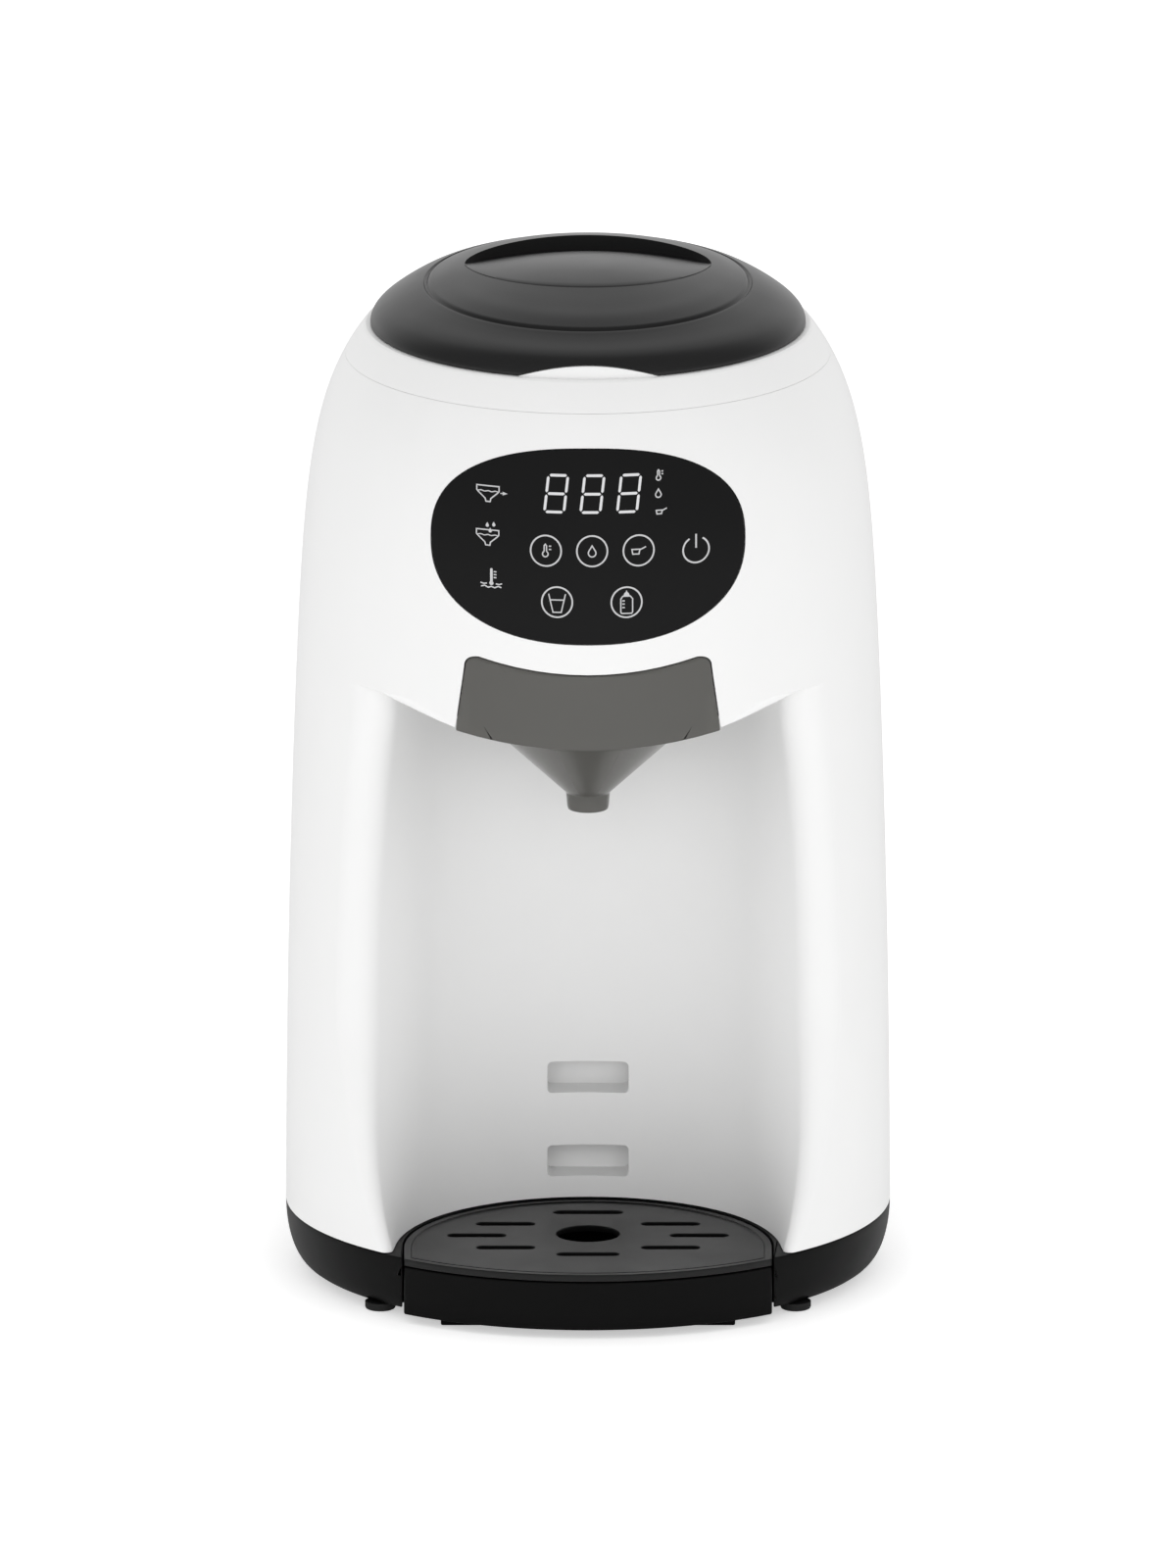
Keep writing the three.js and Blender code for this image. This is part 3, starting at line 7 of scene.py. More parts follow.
import bmesh
import bpy
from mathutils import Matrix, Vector


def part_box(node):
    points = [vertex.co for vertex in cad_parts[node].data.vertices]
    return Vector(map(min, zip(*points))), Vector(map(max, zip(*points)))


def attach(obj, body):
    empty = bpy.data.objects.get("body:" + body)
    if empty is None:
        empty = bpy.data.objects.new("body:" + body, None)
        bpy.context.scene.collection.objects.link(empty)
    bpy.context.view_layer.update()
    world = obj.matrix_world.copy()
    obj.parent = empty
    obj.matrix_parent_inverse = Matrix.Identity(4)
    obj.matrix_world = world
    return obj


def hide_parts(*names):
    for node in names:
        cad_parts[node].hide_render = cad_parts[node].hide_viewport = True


bl_info = {
    "name": "Baby formula maker",
    "version": (1, 0, 0),
    "blender": (4, 5, 0),
    "location": "View3D > Sidebar > Formula maker",
    "description": "Builds the visible pieces of a baby formula maker around its CAD frame",
    "category": "Add Mesh",
}

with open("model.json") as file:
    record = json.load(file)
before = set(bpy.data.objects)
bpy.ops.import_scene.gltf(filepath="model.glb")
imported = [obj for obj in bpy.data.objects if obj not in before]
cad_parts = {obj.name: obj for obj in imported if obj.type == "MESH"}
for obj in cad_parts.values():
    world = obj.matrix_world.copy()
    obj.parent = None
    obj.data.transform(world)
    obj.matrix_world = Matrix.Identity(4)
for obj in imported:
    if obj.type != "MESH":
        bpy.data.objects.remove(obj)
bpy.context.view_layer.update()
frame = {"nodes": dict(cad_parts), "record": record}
MM = 0.001
SAME = 0.002  # millimetres within which two points of a mesh are one
AXIS_Y = (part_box("lid_seal")[0].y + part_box("lid_seal")[1].y) / 2


# Sizes and colours

def length(name, description, default):
    return bpy.props.FloatProperty(name=name, description=description, default=default,
                                   unit="LENGTH", subtype="DISTANCE", precision=4)


def ratio(name, description, default):
    return bpy.props.FloatProperty(name=name, description=description, default=default,
                                   min=0, max=1, subtype="FACTOR")


def tint(name, description, default):
    return bpy.props.FloatVectorProperty(name=name, description=description, default=default,
                                         size=3, min=0, max=1, subtype="COLOR")


class BodySizes(bpy.types.PropertyGroup):
    radius: length("Tower radius", "Radius of the body where it stands on the base", 0.1025)
    bottom: length("Body foot", "Height of the body's lower edge", 0.023)
    height: length("Body height", "From the lower edge to the top ring", 0.307)
    wall: length("Wall", "Thickness of the housings", 0.003)
    seam_drop: length("Top ring", "Height of the ring above the shoulder seam", 0.010)
    split: length("Housing split", "Plane between front and rear housing, behind the axis", 0.030)
    edge: length("Moulded edge", "Rounding of the moulded edges", 0.0006)


class LidSizes(bpy.types.PropertyGroup):
    notch_width: length("Notch half width", "Half width of the finger notch in front", 0.024)
    notch_height: length("Notch height", "Height of the finger notch", 0.0043)


class BaySizes(bpy.types.PropertyGroup):
    radius: length("Bay radius", "Radius of the bottle bay's back wall", 0.0635)
    centre: length("Bay centre", "Depth of the bay's centre in front of the axis", 0.0652)
    top: length("Bay ceiling", "Height of the ceiling in the middle", 0.207)
    slot_width: length("Slot half width", "Half width of a hook slot", 0.0138)
    slot_height: length("Slot height", "Height of a hook slot", 0.011)


class TraySizes(bpy.types.PropertyGroup):
    radius: length("Tray radius", "Radius of the tray's rear half", 0.0625)
    slot_width: length("Slot width", "Width of a drain slot", 0.0045)
    drain: length("Drain radius", "Radius of the middle hole", 0.0108)


class PanelSizes(bpy.types.PropertyGroup):
    half_width: length("Half width", "Half width of the oval panel", 0.0532)
    half_height: length("Half height", "Half height of the oval panel", 0.033)
    height: length("Panel height", "Height of the panel's centre", 0.276)
    stroke: length("Line width", "Width of the printed lines", 0.00042)


class Finishes(bpy.types.PropertyGroup):
    white: tint("White plastic", "Body", (0.86, 0.86, 0.857))
    black: tint("Black plastic", "Base and tray", (0.003, 0.003, 0.003))
    charcoal: tint("Charcoal plastic", "Lid and tank cover", (0.018, 0.018, 0.0182))
    gloss: tint("Panel", "Touch panel", (0.011, 0.011, 0.0112))
    marks: tint("Panel marks", "Printed marks", (0.56, 0.56, 0.57))
    figures: tint("Figures", "Figures of the display", (0.7, 0.7, 0.7125))
    smoke: tint("Smoky plastic", "Mixing funnel", (0.14, 0.137, 0.127))
    tank: tint("Tank", "Water tank", (0.88, 0.9, 0.92))
    grain: length("Grain", "Size of the plastic's moulded grain", 0.0004)
    body_roughness: ratio("Body roughness", "Roughness of the white plastic", 0.42)


def mm(value):
    return value / MM


def sizes(group):
    return getattr(bpy.context.scene, "maker_" + group)


# Meshes

def row(x, y, z):
    return Vector((x * MM, y * MM + AXIS_Y, z * MM))


def arc(x, y, radius, start, turn, steps):
    """Points along an arc given in degrees, with both its ends."""
    angles = [math.radians(start + turn * i / steps) for i in range(steps + 1)]
    return [(x + radius * math.cos(a), y + radius * math.sin(a)) for a in angles]


def piece_from(name, bm):
    """A new object whose mesh is bm, with shared points merged and faces turned outwards."""
    bmesh.ops.remove_doubles(bm, verts=bm.verts, dist=SAME * MM)
    bmesh.ops.recalc_face_normals(bm, faces=bm.faces)
    mesh = bpy.data.meshes.new(name)
    bm.to_mesh(mesh)
    bm.free()
    made = bpy.data.objects.new(name, mesh)
    bpy.context.scene.collection.objects.link(made)
    return made


def loft(name, rings, closed=True):
    """A skin through rings of equal count, closed at both ends with one face each."""
    bm = bmesh.new()
    made = [[bm.verts.new(row(*p)) for p in ring] for ring in rings]
    count = len(rings[0])
    for low, high in zip(made, made[1:]):
        for i in range(count):
            j = (i + 1) % count
            bm.faces.new((low[i], low[j], high[j], high[i]))
    if closed:
        bm.faces.new(made[0][::-1])
        bm.faces.new(made[-1])
    return piece_from(name, bm)


def lathe(name, profile, sides=180, x=0, y=0):
    """A closed profile of (radius, height) pairs turned about an upright axis."""
    bm = bmesh.new()
    columns = []
    for i in range(sides):
        a = 2 * math.pi * i / sides
        columns.append([bm.verts.new(row(x + r * math.cos(a), y + r * math.sin(a), z))
                        for r, z in profile])
    for i in range(sides):
        here, there = columns[i], columns[(i + 1) % sides]
        for k, (r, _) in enumerate(profile):
            n = (k + 1) % len(profile)
            if r == 0 and profile[n][0] == 0:
                continue
            corners = [here[k], there[k], there[n], here[n]]
            if r == 0:
                corners = [here[k], there[n], here[n]]
            elif profile[n][0] == 0:
                corners = [here[k], there[k], here[n]]
            bm.faces.new(corners)
    return piece_from(name, bm)


def prism(name, outline, z0, z1):
    """An outline in x and y, raised from z0 to z1."""
    return loft(name, [[(x, y, z) for x, y in outline] for z in (z0, z1)])


def upright(name, outline, y0, y1):
    """An outline in x and z, drawn out from y0 to y1."""
    return loft(name, [[(x, y, z) for x, z in outline] for y in (y0, y1)])


def block(name, x0, x1, y0, y1, z0, z1):
    return prism(name, [(x0, y0), (x1, y0), (x1, y1), (x0, y1)], z0, z1)


def rod(name, radius, start, end, sides=32):
    """A round bar between two points."""
    a, b = row(*start), row(*end)
    bm = bmesh.new()
    bmesh.ops.create_cone(bm, cap_ends=True, segments=sides, radius1=radius * MM,
                          radius2=radius * MM, depth=(b - a).length)
    turn = (b - a).to_track_quat("Z", "Y").to_matrix().to_4x4()
    turn.translation = (a + b) / 2
    bm.transform(turn)
    return piece_from(name, bm)


def settle(made):
    """Applies what is live on the object and leaves a plain mesh."""
    graph = bpy.context.evaluated_depsgraph_get()
    graph.update()
    mesh = bpy.data.meshes.new_from_object(made.evaluated_get(graph), depsgraph=graph)
    made.modifiers.clear()
    old, made.data = made.data, mesh
    bpy.data.meshes.remove(old)
    mesh.name = made.name
    return made


def combine(made, others, operation):
    for other in others:
        step = made.modifiers.new("combine", "BOOLEAN")
        step.object, step.operation, step.solver = other, operation, "MANIFOLD"
        settle(made)
        if not made.data.polygons:
            raise RuntimeError(made.name + " is empty after " + operation + " with " + other.name)
        bpy.data.objects.remove(other)
    return made


def cut(made, *others):
    return combine(made, others, "DIFFERENCE")


def join(made, *others):
    return combine(made, others, "UNION")


def overlap(made, *others):
    return combine(made, others, "INTERSECT")


def round_edges(made, width, segments=2, angle=38, merge=0.02):
    """Merges the slivers that a cut leaves and rounds what is sharper than the angle."""
    bm = bmesh.new()
    bm.from_mesh(made.data)
    bmesh.ops.remove_doubles(bm, verts=bm.verts, dist=merge * MM)
    bmesh.ops.dissolve_degenerate(bm, edges=bm.edges, dist=0.01 * MM)
    bm.to_mesh(made.data)
    bm.free()
    step = made.modifiers.new("round", "BEVEL")
    step.width, step.segments = width * MM, segments
    step.limit_method, step.angle_limit = "ANGLE", math.radians(angle)
    step.use_clamp_overlap = False
    return settle(made)


def dress(made, material, body, nodes=(), smooth=32):
    """Shades, paints and hangs a finished piece on its body, in place of its CAD nodes."""
    mesh = made.data
    mesh.materials.clear()
    mesh.materials.append(finish(material))
    mesh.polygons.foreach_set("use_smooth", [True] * len(mesh.polygons))
    mesh.polygons.foreach_set("material_index", [0] * len(mesh.polygons))
    mesh.set_sharp_from_angle(angle=math.radians(smooth))
    made.modifiers.new("even_shading", "WEIGHTED_NORMAL").keep_sharp = True
    settle(made)
    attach(made, body)
    if nodes:
        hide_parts(*nodes)
    return made


# Nodes

def feed(node, **sources):
    """Links or sets the node's named inputs. Inputs that share a name are given as _0 and _1."""
    for label, source in sources.items():
        socket = node.inputs[int(label[1:]) if label[0] == "_" else label.replace("_", " ")]
        if isinstance(source, bpy.types.NodeSocket):
            node.id_data.links.new(source, socket)
        else:
            socket.default_value = source
    return node


def add_node(tree, kind, settings=(), **sources):
    made = tree.nodes.new(kind)
    for label, value in dict(settings).items():
        setattr(made, label, value)
    return feed(made, **sources)


def spread(tree, source, low, high, start=0.3, end=0.7, shape="LINEAR"):
    """The source between start and end, turned into low to high."""
    return add_node(tree, "ShaderNodeMapRange", {"interpolation_type": shape}, Value=source,
                    From_Min=start, From_Max=end, To_Min=low, To_Max=high).outputs["Result"]


def maths(tree, operation, first, second, clamp=False):
    return add_node(tree, "ShaderNodeMath", {"operation": operation, "use_clamp": clamp},
                    _0=first, _1=second).outputs[0]


def mix(tree, share, first, second, kind="FLOAT"):
    return add_node(tree, "ShaderNodeMix", {"data_type": kind}, Factor=share, A=first,
                    B=second).outputs["Result"]


def noise(tree, scale, detail=2, stretch=(1, 1, 1)):
    """Noise on the object's own coordinates, drawn out by a share along each axis."""
    place = add_node(tree, "ShaderNodeTexCoord").outputs["Object"]
    turn = add_node(tree, "ShaderNodeMapping", Vector=place, Scale=stretch).outputs["Vector"]
    return add_node(tree, "ShaderNodeTexNoise", Vector=turn, Scale=scale, Detail=detail).outputs["Fac"]


def bump(tree, source, strength, depth):
    return add_node(tree, "ShaderNodeBump", Strength=strength, Distance=depth,
                    Height=source).outputs["Normal"]


# Finishes

CLEAR = {"IOR": 1.49}
MOULDED = {
    "body_white": dict(colour="white", roughness="body_roughness"),
    "base_black": dict(colour="black", roughness=0.4, grain=0.4, Specular_IOR_Level=0.12),
    "charcoal_plastic": dict(colour="charcoal", roughness=0.34, grain=0.35, Specular_IOR_Level=0.38),
    "grate_charcoal": dict(colour="black", roughness=0.38, grain=0.5),
    "smoky_plastic": dict(colour="smoke", roughness=0.16, grain=0.06, Transmission_Weight=0.35, **CLEAR),
    "tank_plastic": dict(colour="tank", roughness=0.08, grain=0.02, Transmission_Weight=0.97, **CLEAR),
    "box_plastic": dict(colour=(0.72, 0.74, 0.76), roughness=0.14, grain=0.05, Transmission_Weight=0.85,
                        **CLEAR),
    "panel_black": dict(colour="gloss", roughness=0.32, grain=0.02, Specular_IOR_Level=0.1),
    "panel_ink": dict(colour="marks", roughness=0.5, grain=0.1),
    "figure_ink": dict(colour="figures", roughness=0.5, grain=0.1),
    "soft_rubber": dict(colour=(0.014, 0.014, 0.014), roughness=0.8, grain=0.7),
    "seal_silicone": dict(colour=(0.66, 0.66, 0.63), roughness=0.6, grain=0.3, Subsurface_Weight=0.1,
                          Subsurface_Scale=0.002),
    "pale_nylon": dict(colour=(0.74, 0.7, 0.62), roughness=0.45),
    "circuit_green": dict(colour=(0.015, 0.11, 0.045), roughness=0.45, drift=0.12),
    "display_dark": dict(colour=(0.02, 0.02, 0.022), roughness=0.3),
}
GRAIN_DEPTH = 0.00002  # metres
BRUSH_DEPTH = 0.00003
STEEL = (0.52, 0.53, 0.54)


def finish(name):
    """The named material, made when it is first asked for."""
    known = bpy.data.materials.get(name)
    if known:
        return known
    made = bpy.data.materials.new(name)
    made.use_nodes = True
    tree = made.node_tree
    base = tree.nodes["Principled BSDF"]
    if name == "brushed_steel":
        brushed(tree, base)
    else:
        moulded(tree, base, **MOULDED[name])
    return made


def moulded(tree, base, colour, roughness, grain=0.25, drift=0.012, **sockets):
    """Injection-moulded plastic: a fine even grain, with roughness and colour that drift a little."""
    given = sizes("finishes")
    colour, roughness = (getattr(given, v) if isinstance(v, str) else v for v in (colour, roughness))
    slow = noise(tree, 38, detail=3)
    darker = (*(c * (1 - drift) for c in colour), 1)
    lighter = (*(min(c * (1 + drift), 1) for c in colour), 1)
    feed(base, Base_Color=mix(tree, slow, darker, lighter, "RGBA"),
         Roughness=spread(tree, slow, roughness * 0.93, min(roughness * 1.07, 1)),
         Normal=bump(tree, noise(tree, 1 / given.grain), grain, GRAIN_DEPTH), **sockets)


def brushed(tree, base):
    """Turned or rolled steel: fine lines drawn out along one way."""
    lines = noise(tree, 900, detail=4, stretch=(1, 1, 0.05))
    feed(base, Base_Color=(*STEEL, 1), Metallic=1, Roughness=spread(tree, lines, 0.26, 0.42),
         Normal=bump(tree, lines, 0.3, BRUSH_DEPTH))


# Shapes of the body

GAP = 0.3  # between pieces that rest on each other
SEAM = 0.1  # the closed joint between the top ring and the housings
FAR = 130  # how far a cutter runs out to the front
INNER = -50  # how far back a cutter runs from the front
SKY = 400  # how high a cutter runs
FULLNESS = 1.18  # of the panel's oval, where 1 is an ellipse
SHOWN_WALL = 9  # depth of the skin in which the bay's rolled sides lie
BAY_ROLL = 9
SLOT_LEVELS = (30.7, 60)
REAR_CORNER = (40, 114)  # centre of the base's rear corners
REAR_RADIUS = 36
BAND_FOOT, BAND_TOP = 3, 23  # lower and upper edge of the base band
GLAND_X, GLAND_Z = 22, 12.5
SCREWS = [(80, -30), (-80, -30), (52, 114), (-52, 114)]
FEET = [(70.5, -61, 0), (-70.5, -61, 0), (58, 132, 0), (-58, 132, 0)]
TANK_Y = 126  # the tank's neck and its dock
LEDGE = 64.5  # inner radius of the top ring's ledge
LID_RADIUS = 73.9
FUNNEL_Y = -46
PLATE_HALF = 44.9  # half width of the funnel's plate at its foot
BOWL_RADIUS, BOWL_WALL, BOWL_TOP = 39.5, 2, 231


def skin(z):
    """Radius of the tower at a height: nearly straight below, rolling over at the shoulder."""
    b = sizes("body")
    t = (z - mm(b.bottom)) / mm(b.height)
    return mm(b.radius) * (1 - 0.09 * t * t - 0.17 * max(t, 0) ** 13)


def body_top():
    return mm(sizes("body").bottom + sizes("body").height)


def seam_z():
    return body_top() - mm(sizes("body").seam_drop)


def heights(z0, z1, count):
    """Heights that crowd towards the upper end, where the skin bends most."""
    return [z0 + (z1 - z0) * (1 - (1 - i / count) ** 1.5) for i in range(count + 1)]


def tower(name, z0, z1, inset, count=70, sides=240):
    profile = [(0, z0)] + [(skin(z) - inset, z) for z in heights(z0, z1, count)] + [(0, z1)]
    return lathe(name, profile, sides)


def tower_shell(name):
    foot, top = mm(sizes("body").bottom) + GAP, seam_z()
    wall = mm(sizes("body").wall)
    levels = heights(foot, top, 84)
    profile = [(skin(z), z) for z in levels] + [(skin(z) - wall, z) for z in levels[::-1]]
    return lathe(name, profile, 288)


def ceiling(x):
    return mm(sizes("bay").top) + 9.6 * (x / 68) ** 2


def bay_hollow(name, grow=0, blend=0, levels=56):
    """Hollow of the bottle bay: a half-round back whose sides flare and roll over into the skin."""
    b = sizes("bay")
    r, back = mm(b.radius), mm(b.radius - b.centre)
    foot, top = mm(sizes("body").bottom), mm(b.top)
    bends, straights = 40, 26
    depths = [r * (1 - math.cos(math.pi / 2 * i / bends)) for i in range(bends + 1)]
    reach = back + FAR - r
    depths += [r + reach * i / straights for i in range(1, straights + 1)]
    rings = []
    for i in range(levels + 1):
        z = foot - 2 + (top + 14 - foot) * i / levels
        t = min(max((z - foot) / (top - foot), 0), 1)
        flare = 2.3 + 3.7 * t + 18 * math.sin(math.pi * t)
        side = []
        for depth in depths:
            level = min(depth / r, 1)
            x = r * math.sqrt(1 - (1 - level) ** 2) + flare * max((depth - 30) / 40, 0) ** 2
            side.append((x + grow * min(2 * level, 1), back + grow - depth))
        if blend:
            side = rolled_side(side, skin(z), blend * (0.25 + 0.75 * min(2.5 * t, 1)))
        rings.append([(-x, y, z) for x, y in side[:0:-1]] + [(x, y, z) for x, y in side])
    return overlap(loft(name, rings), bay_ceiling(name + "_ceiling", back, grow, blend / 2))


def rolled_side(side, radius, roll, count=64, bends=12):
    """A bay side, (x, y) from the back to the front, whose end rolls over into the tower's skin."""
    path, last = [side[0]], None
    for (x0, y0), (x1, y1) in zip(side, side[1:]):
        step = math.hypot(x1 - x0, y1 - y0)
        centre = (x1 - roll * (y1 - y0) / step, y1 + roll * (x1 - x0) / step)
        if math.hypot(*centre) > radius - roll:
            break
        path.append((x1, y1))
        last = centre
    near, far = math.hypot(*last), math.hypot(*centre)
    share = (radius - roll - near) / (far - near)
    cx, cy = (a + (b - a) * share for a, b in zip(last, centre))
    path.append(tuple(a + (b - a) * share for a, b in zip(path[-1], (x1, y1))))
    start = math.atan2(path[-1][1] - cy, path[-1][0] - cx)
    start -= 2 * math.pi if start > 0 else 0
    end = math.atan2(cy, cx)
    made = even_path(path, count)
    for i in range(1, bends + 1):
        a = start + (end - start) * i / bends
        made.append((cx + roll * math.cos(a), cy + roll * math.sin(a)))
    x, y = (1.02 * v for v in made[-1])
    return made + [(x, y), (x, -FAR)]


def even_path(path, count):
    """The same path in even steps."""
    lengths = [0]
    for (x0, y0), (x1, y1) in zip(path, path[1:]):
        lengths.append(lengths[-1] + math.hypot(x1 - x0, y1 - y0))
    made, k = [], 0
    for i in range(count):
        at = lengths[-1] * i / (count - 1)
        while k < len(path) - 2 and lengths[k + 1] < at:
            k += 1
        share = (at - lengths[k]) / (lengths[k + 1] - lengths[k])
        made.append(tuple(a + (b - a) * share for a, b in zip(path[k], path[k + 1])))
    return made


def bay_ceiling(name, back, grow, blend, steps=80, bends=8):
    """All that lies under the bay's arched ceiling, whose front edge rolls up into the skin."""
    rings = []
    for i in range(steps + 1):
        x = 110 - 220 * i / steps
        crest = ceiling(x) + grow
        roll = 0.4 + blend * min(max((abs(x) - 44) / 16, 0), 1)
        line = [(-FAR - 5, 0), (back + grow + 5, 0), (back + grow + 5, crest)]
        for k in range(bends + 1):
            a = math.pi / 2 * k / bends
            radius = skin(crest) - roll * (1 - math.sin(a))
            line.append((-math.sqrt(max(radius ** 2 - x * x, 0)), crest + roll * (1 - math.cos(a))))
        line.append((-FAR - 5, crest + roll))
        rings.append([(x, y, z) for y, z in line])
    return loft(name, rings)


def plate_outline(grow=0, drop=0):
    """Front plate of the funnel: leaning sides, round shoulders, a dipped top and a sagging foot."""
    foot = mm(sizes("bay").top) + 3.3
    half = PLATE_HALF + grow + 3.2 / (233 - foot) * drop
    top = 236.6 + grow
    points = []

    def bend(p, q, r, count):
        for i in range(count):
            t = i / count
            points.append(tuple((1 - t) ** 2 * a + 2 * t * (1 - t) * b + t * t * c
                                for a, b, c in zip(p, q, r)))

    bend((-half, foot - drop), (0, foot - drop - 8.6), (half, foot - drop), 12)
    points.append((half, foot - drop))
    side = 41.7 + grow
    bend((side, 233), (side, top), (37.1, top), 8)
    bend((37.1, top), (0, 2 * (232 + grow) - top), (-37.1, top), 12)
    bend((-37.1, top), (-side, top), (-side, 233), 8)
    points.append((-side, 233))
    return points


def bowl_outline(radius, front, steps=48):
    """Plan of the funnel's bowl: straight sides in front, a half circle behind."""
    return [(-radius, front), (radius, front)] + arc(0, FUNNEL_Y, radius, 0, 180, steps)


def oval_outline(grow=0, count=120):
    p = sizes("panel")
    points = []
    for i in range(count):
        a = 2 * math.pi * i / count
        c, s = math.cos(a), math.sin(a)
        x, z = (math.copysign(abs(v) ** (1 / FULLNESS), v) for v in (c, s))
        points.append(((mm(p.half_width) + grow) * x, mm(p.height) + (mm(p.half_height) + grow) * z))
    return points


# Housings

class MAKER_OT_housings(bpy.types.Operator):
    """Front housing with its bay, panel seat, funnel mouth and hook slots, and rear housing"""
    bl_idname = "maker.housings"
    bl_label = "Housings"

    def execute(self, context):
        b, bay = sizes("body"), sizes("bay")
        foot, top, wall = mm(b.bottom) + GAP, seam_z(), mm(b.wall)
        split = mm(b.split)
        back = mm(bay.radius - bay.centre)
        half, tall, deep = mm(bay.slot_width), mm(bay.slot_height), 12
        front = overlap(tower_shell("front_housing_skin"),
                        block("front_half", -FAR, FAR, -FAR, split, 0, SKY))
        lining = overlap(bay_hollow("bay_lining", wall), tower("lining_limit", foot, top, 0))
        corners = cut(overlap(bay_hollow("bay_corners", wall + 6), tower("corner_limit", foot, top, 0)),
                      tower("corner_space", foot - 1, top + 1, SHOWN_WALL))
        pockets = [block("pocket", -half - 2, half + 2, back, back + deep + 2, z - 2, z + tall + 2)
                   for z in SLOT_LEVELS]
        join(front, lining, corners, *pockets)
        slots = [slot_cutter(-half, half, back - 2, back + deep, z, z + tall) for z in SLOT_LEVELS]
        seat = cut(upright("panel_seat", oval_outline(0.3), -FAR, INNER),
                   tower("seat_floor", foot, top, 1.9))
        window = block("display_window", -18, 21, -FAR, -73.5, 286, 303)
        throat = prism("throat", bowl_outline(42.3, -70), 205, 231.6)
        mouth = upright("mouth", plate_outline(0.4, 6), -FAR, INNER)
        cut(front, bay_hollow("bay_space", 0, BAY_ROLL), *slots, seat, window, throat, mouth)
        dress(front, "body_white", "root", ["front_housing"])
        rear = overlap(tower_shell("rear_housing_skin"),
                       block("rear_half", -FAR, FAR, split + GAP, FAR, 0, SKY))
        round_edges(rear, mm(b.edge) / 2)
        dress(rear, "body_white", "root", ["rear_housing"])
        return {"FINISHED"}


def slot_cutter(x0, x1, y0, y1, z0, z1, radius=1.6, steps=5):
    """A hook slot with rounded corners."""
    left, right, low, high = x0 + radius, x1 - radius, z0 + radius, z1 - radius
    corners = ((right, low, -90), (right, high, 0), (left, high, 90), (left, low, 180))
    points = [p for x, z, start in corners for p in arc(x, z, radius, start, 90, steps)]
    return upright("slot", points, y0, y1)


class MAKER_OT_top_ring(bpy.types.Operator):
    """White ring over the shoulder seam, with the tab that fills the lid's finger notch"""
    bl_idname = "maker.top_ring"
    bl_label = "Top ring"

    def execute(self, context):
        low, top = seam_z() + SEAM, body_top()
        collar = skin(seam_z()) - mm(sizes("body").wall) - GAP
        profile = [(skin(z), z) for z in heights(low, top - 0.5, 14)]
        rim = ((0.1, 0.22), (0.3, 0.05), (0.55, 0))
        profile += [(skin(top) - inset, top - drop) for inset, drop in rim]
        profile += [(LEDGE, top), (LEDGE, top - 3), (collar - 3, top - 3.3), (collar - 3, low - 4.3),
                    (collar, low - 4.3), (collar, low)]
        ring = lathe("shoulder_ring", profile, 288)
        tab_side = [(LID_RADIUS, top - GAP), (LID_RADIUS, top + 2.2), (72.8, top + 5.6)]
        limit = lathe("tab_limit", [(LEDGE, top - GAP), *tab_side, (LEDGE, top + 5.6)], 288)
        tab = overlap(upright("tab", notch_outline(0.4), -76, -65.2), limit)
        dress(join(ring, tab), "body_white", "root", ["top_ring"])
        return {"FINISHED"}


def notch_outline(clearance, steps=30):
    lid = sizes("lid")
    half, rise = mm(lid.notch_width), mm(lid.notch_height)
    radius = (half ** 2 + rise ** 2) / (2 * rise)
    top = body_top() + GAP + rise - clearance
    half -= clearance
    points = [(-half, body_top() - 2), (half, body_top() - 2)]
    for i in range(steps + 1):
        x = half * (1 - 2 * i / steps)
        points.append((x, top - radius + math.sqrt(radius * radius - x * x)))
    return points


# Lid

def smooth_profile(points, steps=6):
    """A curve through the points (Catmull-Rom), as a list of pairs."""
    ends = [points[0], *points, points[-1]]
    made = []
    for i in range(1, len(ends) - 2):
        p0, p1, p2, p3 = ends[i - 1:i + 3]
        for k in range(steps):
            t = k / steps
            made.append(tuple(
                0.5 * (2 * b + (c - a) * t + (2 * a - 5 * b + 4 * c - d) * t * t
                       + (3 * b - 3 * c + d - a) * t ** 3)
                for a, b, c, d in zip(p0, p1, p2, p3)))
    return made + [points[-1]]


